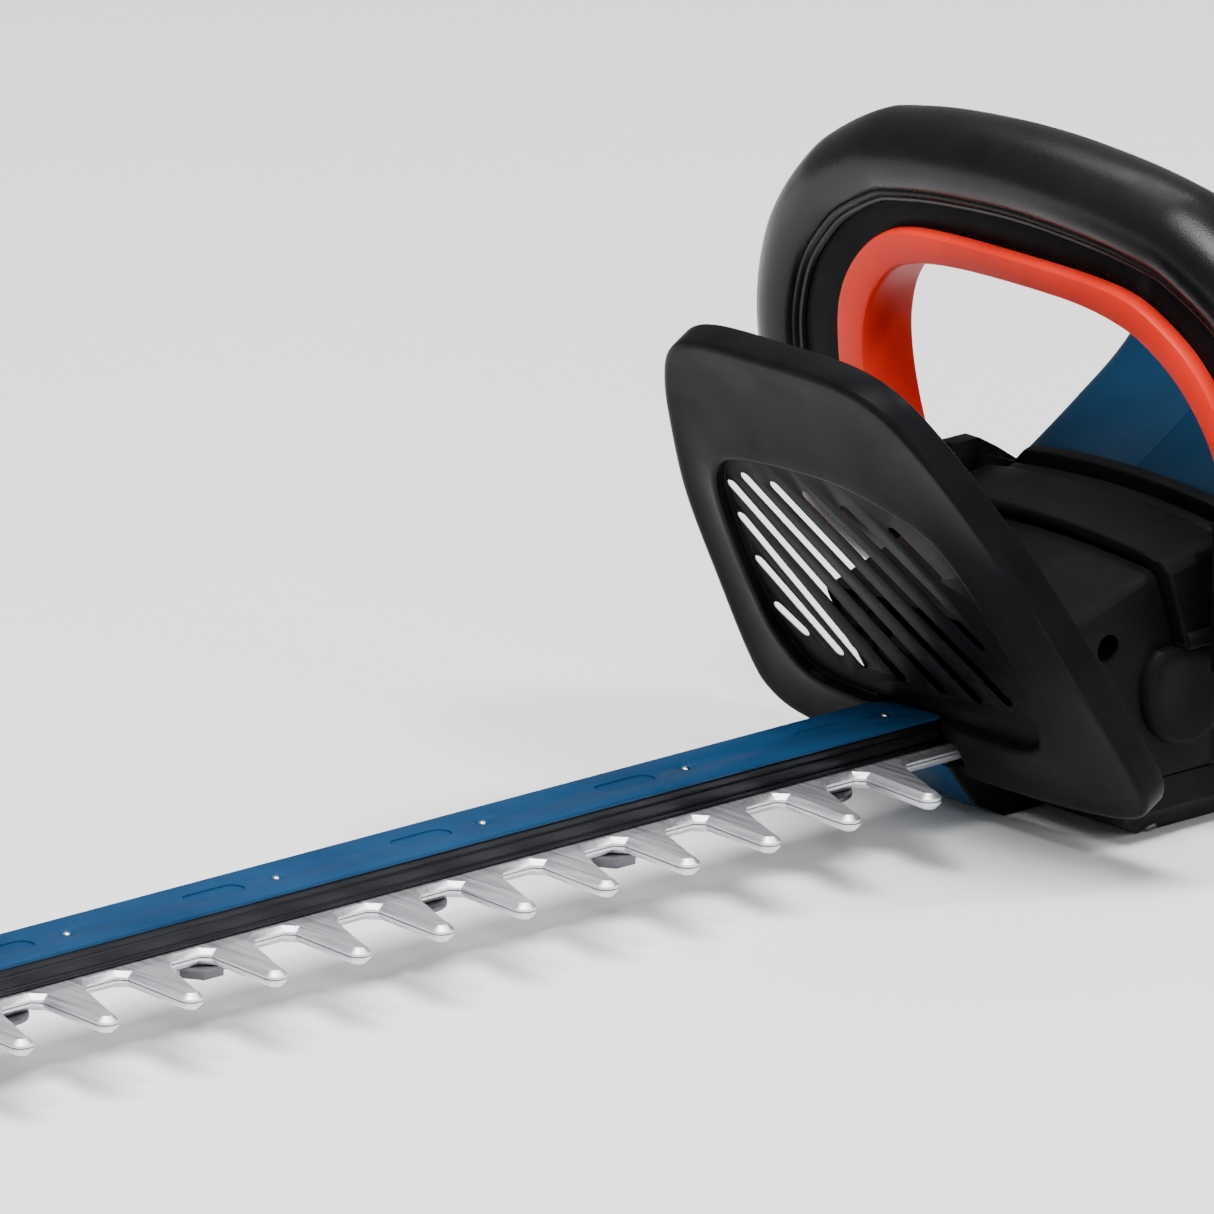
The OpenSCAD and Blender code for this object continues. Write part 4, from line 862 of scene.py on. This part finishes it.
def screw_wells(obj, name, places):
    """Round wells through the near shell, each lined by the post that its screw sinks into."""
    cut(obj, *[turned(x, z, WELL_R, -(head - 2), -90) for x, z, head, _ in places])
    posts = []
    for x, z, head, post in places:
        profile = [(3.4, 2 - head), (3.4, -post), (4.6, -post), (4.6, -SEAM)]
        posts.append(lathe([(0.01, 2 - head)] + profile, (x, 0, z), "y", 32))
    piece(mesh_object(name, *joined(posts)), "chassis", "housing_blue")


def build_housing():
    """The two housing halves with their rear wall, openings and screw wells."""
    stations = [((x, (top + low) / 2), (0, 1), w, (top - low) / 2, n)
                for x, w, top, low, n in body_stations]
    _, w, top, low, n = body_stations[-1]
    for side, word in SIDES:
        end = [(y, z) for _, y, z in oval_half((0, (top + low) / 2), (0, 1), w - 0.6,
                                               (top - low) / 2 - 0.6, n, side)]
        obj = mesh_object(f"housing_shell_{word}", *half_shell(stations, side))
        cut(obj, prism(end, 307, 310), operation="UNION")
        y0, y1 = sorted((side * 38, side * 60))
        cut(obj, prism(rounded(206, 84, 240, 116, 3), y0, y1, "y"))
        cut(obj, lock_off_opening)
        cut(obj, block(137, 50, 189, 62, -38, 38, "y"))
        if side < 0:
            screw_wells(obj, "housing_screw_posts", body_screws)
        piece(obj, "chassis", "housing_blue", f"housing_{word}", edge=SHELL_EDGE, limit=38)


def build_vents():
    """A framed row of slanted louvres in each side of the housing."""
    shapes = []
    x0, z0, bar = 206.4, 84.3, 1.6
    for side, _ in SIDES:
        y0, y1 = sorted((side * 44.6, side * 47.4))
        for z in np.arange(87.4, 115, 4.6):
            section = [(side * 44.4, z + 1.4), (side * 45.9, z + 1.4), (side * 48.2, z - 1.6),
                       (side * 46.7, z - 1.6)]
            shapes.append(prism(section, 206.8, 239.2))
        shapes += [block(x, z0, x + bar, 115.7, y0, y1, "y") for x in (x0, 222.2, 238.0)]
        shapes += [block(x0, z, 239.6, z + 1.5, y0, y1, "y") for z in (z0, 114.2)]
    obj = mesh_object("vent_louvres", *joined(shapes))
    piece(obj, "chassis", "case_black", "vent_grilles", edge=0.3)


build_housing()
build_vents()


# ---------- rear handle, grip and trigger ----------

HANDLE_W, HANDLE_H = 16.5, 18
handle_points = [(310.05, 163.4), (335, 166), (372, 163), (408, 154), (440, 138), (463, 115),
                 (473, 92), (474, 76)]


def path_stations(steps, first, last, w, h, grow):
    """Sections along the rear handle between two of its path's points; grow adds to their size."""
    path = spline(handle_points, steps)
    up = normals2d(path, closed=False) * -1
    # the first section stands upright against the housing, and the next ones turn from it
    for i in range(steps):
        up[i] = up[steps] * i / steps + np.array((0, 1)) * (1 - i / steps)
        up[i] /= np.linalg.norm(up[i])
    begin, end = round(first * steps), round(last * steps)
    return [(path[i], up[i], w + grow((i - begin) / steps, (end - i) / steps),
             h + grow((i - begin) / steps, (end - i) / steps), 2.4) for i in range(begin, end + 1)]


def build_handle():
    """The two halves of the rear handle: curved part, lower arm, end wall and screw wells."""
    for side, word in SIDES:
        shell = path_stations(12, 0, 7, HANDLE_W, HANDLE_H, lambda a, b: 0)
        arm = [((x, 66), (0, 1), 33 - d, 10 - d, 4)
               for x, d in ((310.01, 0), (360, 0), (420, 0), (487.5, 0), (489.2, 0.3),
                            (490.3, 1.0), (491, 2.2))]
        end = [(y, z) for _, y, z in oval_half((0, 66), (0, 1), 32, 9, 4, side)]
        obj = mesh_object(f"handle_shell_{word}", *half_shell(shell, side))
        lower = mesh_object(f"handle_arm_{word}", *half_shell(arm, side))
        wall = mesh_object(f"handle_end_{word}", *prism(end, 487.5, 490.4))
        cut(obj, block(316, 140, 354, 158, -7.8, 7.8, "y"))
        cut(obj, lock_off_opening)
        cut(lower, block(388, 55, 402, 61, -14, 14, "y"))
        if side < 0:
            screw_wells(obj, "handle_screw_posts", handle_screws[:2])
            screw_wells(lower, "handle_arm_posts", handle_screws[2:])
        piece(obj, "chassis", "housing_blue", f"handle_{word}", edge=SHELL_EDGE, limit=38)
        piece(lower, "chassis", "housing_blue", edge=SHELL_EDGE, limit=38)
        piece(wall, "chassis", "housing_blue", edge=0.6)


def build_rear_grip():
    """A soft sleeve on the handle, with shallow grooves across it."""
    def swell(a, b):
        """The sleeve's height at a from its front end and b from its rear end."""
        edge = min(1, min(a, b) / 0.07)
        groove = 0.42 * max(0, math.cos(2 * math.pi * a / 0.16)) ** 8
        return 2.4 * math.sin(edge * math.pi / 2) - (groove if edge >= 1 else 0)

    shapes = []
    span = (48, 2.25, 4.75)
    stations = path_stations(*span, HANDLE_W, HANDLE_H, swell)
    inside = path_stations(*span, 16.6, 18.1, lambda a, b: -0.4)
    for side, _ in SIDES:
        shapes.append(loft([oval_half(*s, side) + oval_half(*t, side)[::-1]
                            for s, t in zip(stations, inside)]))
    obj = mesh_object("rear_grip_sleeve", *joined(shapes))
    piece(obj, "chassis", "soft_black", "rear_grip")


def build_trigger():
    """A curved finger lever with rounded sides."""
    outline = spline([(320, 160), (319, 150), (322, 143), (329, 137), (338, 135.5), (347, 138.5),
                      (352, 145), (352, 160)], 8)
    n = -normals2d(outline)
    area = sum(a[0] * b[1] - b[0] * a[1] for a, b in zip(outline, np.roll(outline, -1, 0)))
    n = n if area > 0 else -n
    rings = [np.column_stack([(outline + d * n)[:, 0], np.full(len(outline), y),
                              (outline + d * n)[:, 1]])
             for y, d in ((-7.5, 2.0), (-7.3, 1.2), (-6.7, 0.5), (-5.6, 0.1), (-4, 0), (4, 0),
                          (5.6, 0.1), (6.7, 0.5), (7.3, 1.2), (7.5, 2.0))]
    obj = mesh_object("trigger_lever", *loft(rings))
    cut(obj, turned(325, 155, 1.55, -10, 10))
    piece(obj, "trigger_body", "switch_red", "trigger", edge=0.15, limit=50)


build_handle()
build_rear_grip()
build_trigger()


# ---------- battery ----------


def build_battery_ribs():
    """Raised finger ribs on both sides of the pack, where a hand pulls it off."""
    shapes = []
    for side, _ in SIDES:
        y0, y1 = sorted((side * 37.6, side * 38.8))
        for k in range(5):
            shapes.append(prism(capsule((412 + 2 * k, 7 + 4.4 * k), (482 - 2 * k, 7 + 4.4 * k), 1.1),
                                y0, y1, "y"))
    obj = mesh_object("battery_finger_ribs", *joined(shapes))
    piece(obj, "battery_body", "case_black", edge=0.35)


build_battery_ribs()


# ---------- springs -----------------------------------------


def coil(base, up, radius, length, turns, wire):
    """A wound spring: a wire carried round a helix that stands on base."""
    base, up = np.array(base, float), np.array(up, float)
    side = np.array((0.0, 1.0, 0.0))
    front = np.cross(side, up)
    count = turns * 18
    rings = []
    for k in range(count + 1):
        a = 2 * math.pi * turns * k / count
        out = math.cos(a) * front + math.sin(a) * side
        centre = base + up * (wire + (length - 2 * wire) * k / count) + out * (radius - wire)
        rings.append([centre + wire * (math.cos(b) * out + math.sin(b) * up)
                      for b in np.linspace(0, 2 * math.pi, 8, endpoint=False)])
    return loft(rings)


def build_springs():
    """The four springs as wound coils, each given to its body."""
    lean, up = math.radians(BALE_LEAN), (0, 0, 1)
    slant = (-math.sin(lean), 0, math.cos(lean))
    bar_length = 4.2
    foot = BALE @ (Vector((-2, 0, 94.2 - 4 - 0.3)) * MM) / MM
    top = tuple(np.array(foot) + bar_length * np.array(slant))
    # foot, direction, radius, length, turns, wire radius
    bar = [coil((foot[0], y, foot[2]), slant, 1.4, bar_length, 4, 0.2) for y in (-30, 30)]
    latch = [coil((494, y, 36), up, 2, 5.3, 5, 0.3) for y in (-6, 6)]
    trigger = [coil((345, 0, 160.3), up, 2.4, 7.4, 6, 0.35)]
    lock = [coil((311, 0, 170), up, 2.5, 5.9, 5, 0.35)]
    # name, coils, body, joint, direction, fixed end, share of the length kept
    table = (("switch_bar_springs", bar, "chassis", "bale_switch_press", slant, top, 0.04),
             ("trigger_spring", trigger, "chassis", "trigger_pull", up, (345, 0, 167.7), 0.36),
             ("lock_off_spring", lock, "chassis", "lock_off_press", up, (311, 0, 170), 0.45),
             ("latch_spring", latch, "battery_body", "latch_press", up, (494, 0, 36), 0.4))
    for node, coils, body, joint, axis, anchor, keep in table:
        obj = mesh_object(node + "_coil", *joined(coils))
        piece(obj, body, "spring_steel", node)
        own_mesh(obj)


build_springs()


# ---------- floor, light and camera ----------


def light(name, at, to, size, watts):
    """A soft white rectangle of light aimed at a point."""
    data = bpy.data.lights.new(name, "AREA")
    data.shape, data.size, data.size_y = "RECTANGLE", size[0], size[1]
    data.energy = watts
    obj = bpy.data.objects.new(name, data)
    bpy.context.scene.collection.objects.link(obj)
    obj.location = at
    obj.rotation_euler = (Vector(to) - Vector(at)).to_track_quat("-Z", "Y").to_euler()


FLOOR_HALF = 14
floor_mesh = bpy.data.meshes.new("floor")
floor_mesh.from_pydata([(x * FLOOR_HALF, y * FLOOR_HALF, 0)
                        for x, y in ((-1, -1), (1, -1), (1, 1), (-1, 1))], [], [(0, 1, 2, 3)])
floor = bpy.data.objects.new("floor", floor_mesh)
bpy.context.scene.collection.objects.link(floor)
floor.location.z = -0.0002
paper, tree, shader, coords = start_material("floor_paper")
tree.links.new(mix_colour(tree, noise(tree, coords, 1.5), (0.88, 0.88, 0.88), (0.91, 0.91, 0.91)),
               shader.inputs["Base Color"])
shader.inputs["Roughness"].default_value = 0.9
floor_mesh.materials.append(paper)

# a pale studio with one broad key light and three weak ones that draw the edges
world = bpy.data.worlds.new("studio")
world.use_nodes = True
sky = world.node_tree.nodes["Background"]
sky.inputs["Color"].default_value = (0.95, 0.97, 1, 1)
sky.inputs["Strength"].default_value = 0.32
bpy.context.scene.world = world
middle = (0.02, 0.05, 0.06)
light("key_light", (-0.9, -0.5, 2.6), middle, (1.7, 1.2), 150)
light("side_light", (-0.2, -2.2, 1.2), middle, (0.5, 1.2), 20)
light("back_light", (0.6, 1.2, 2.3), middle, (1.4, 0.4), 14)
light("edge_light", (0.75, -0.85, 2.0), middle, (0.35, 0.25), 24)

# a catalogue view from the blade's side, a little from above, with a long lens from far away
CAMERA_AWAY, LENS = 6.2, 661.9
turn, dip = math.radians(42.15), math.radians(16.7)
look = Vector((math.sin(turn) * math.cos(dip), math.cos(turn) * math.cos(dip), -math.sin(dip)))
across = Vector((math.cos(turn), -math.sin(turn), 0))
above = across.cross(look)
camera_data = bpy.data.cameras.new("camera")
camera_data.sensor_width, camera_data.lens, camera_data.clip_end = 36, LENS, 40
camera = bpy.data.objects.new("camera", camera_data)
bpy.context.scene.collection.objects.link(camera)
aim = Vector((0.01307, 0.08042, 0.05932))
axes = Matrix((across, above, -look)).transposed()
camera.matrix_world = Matrix.Translation(aim - look * CAMERA_AWAY) @ axes.to_4x4()
bpy.context.scene.camera = camera
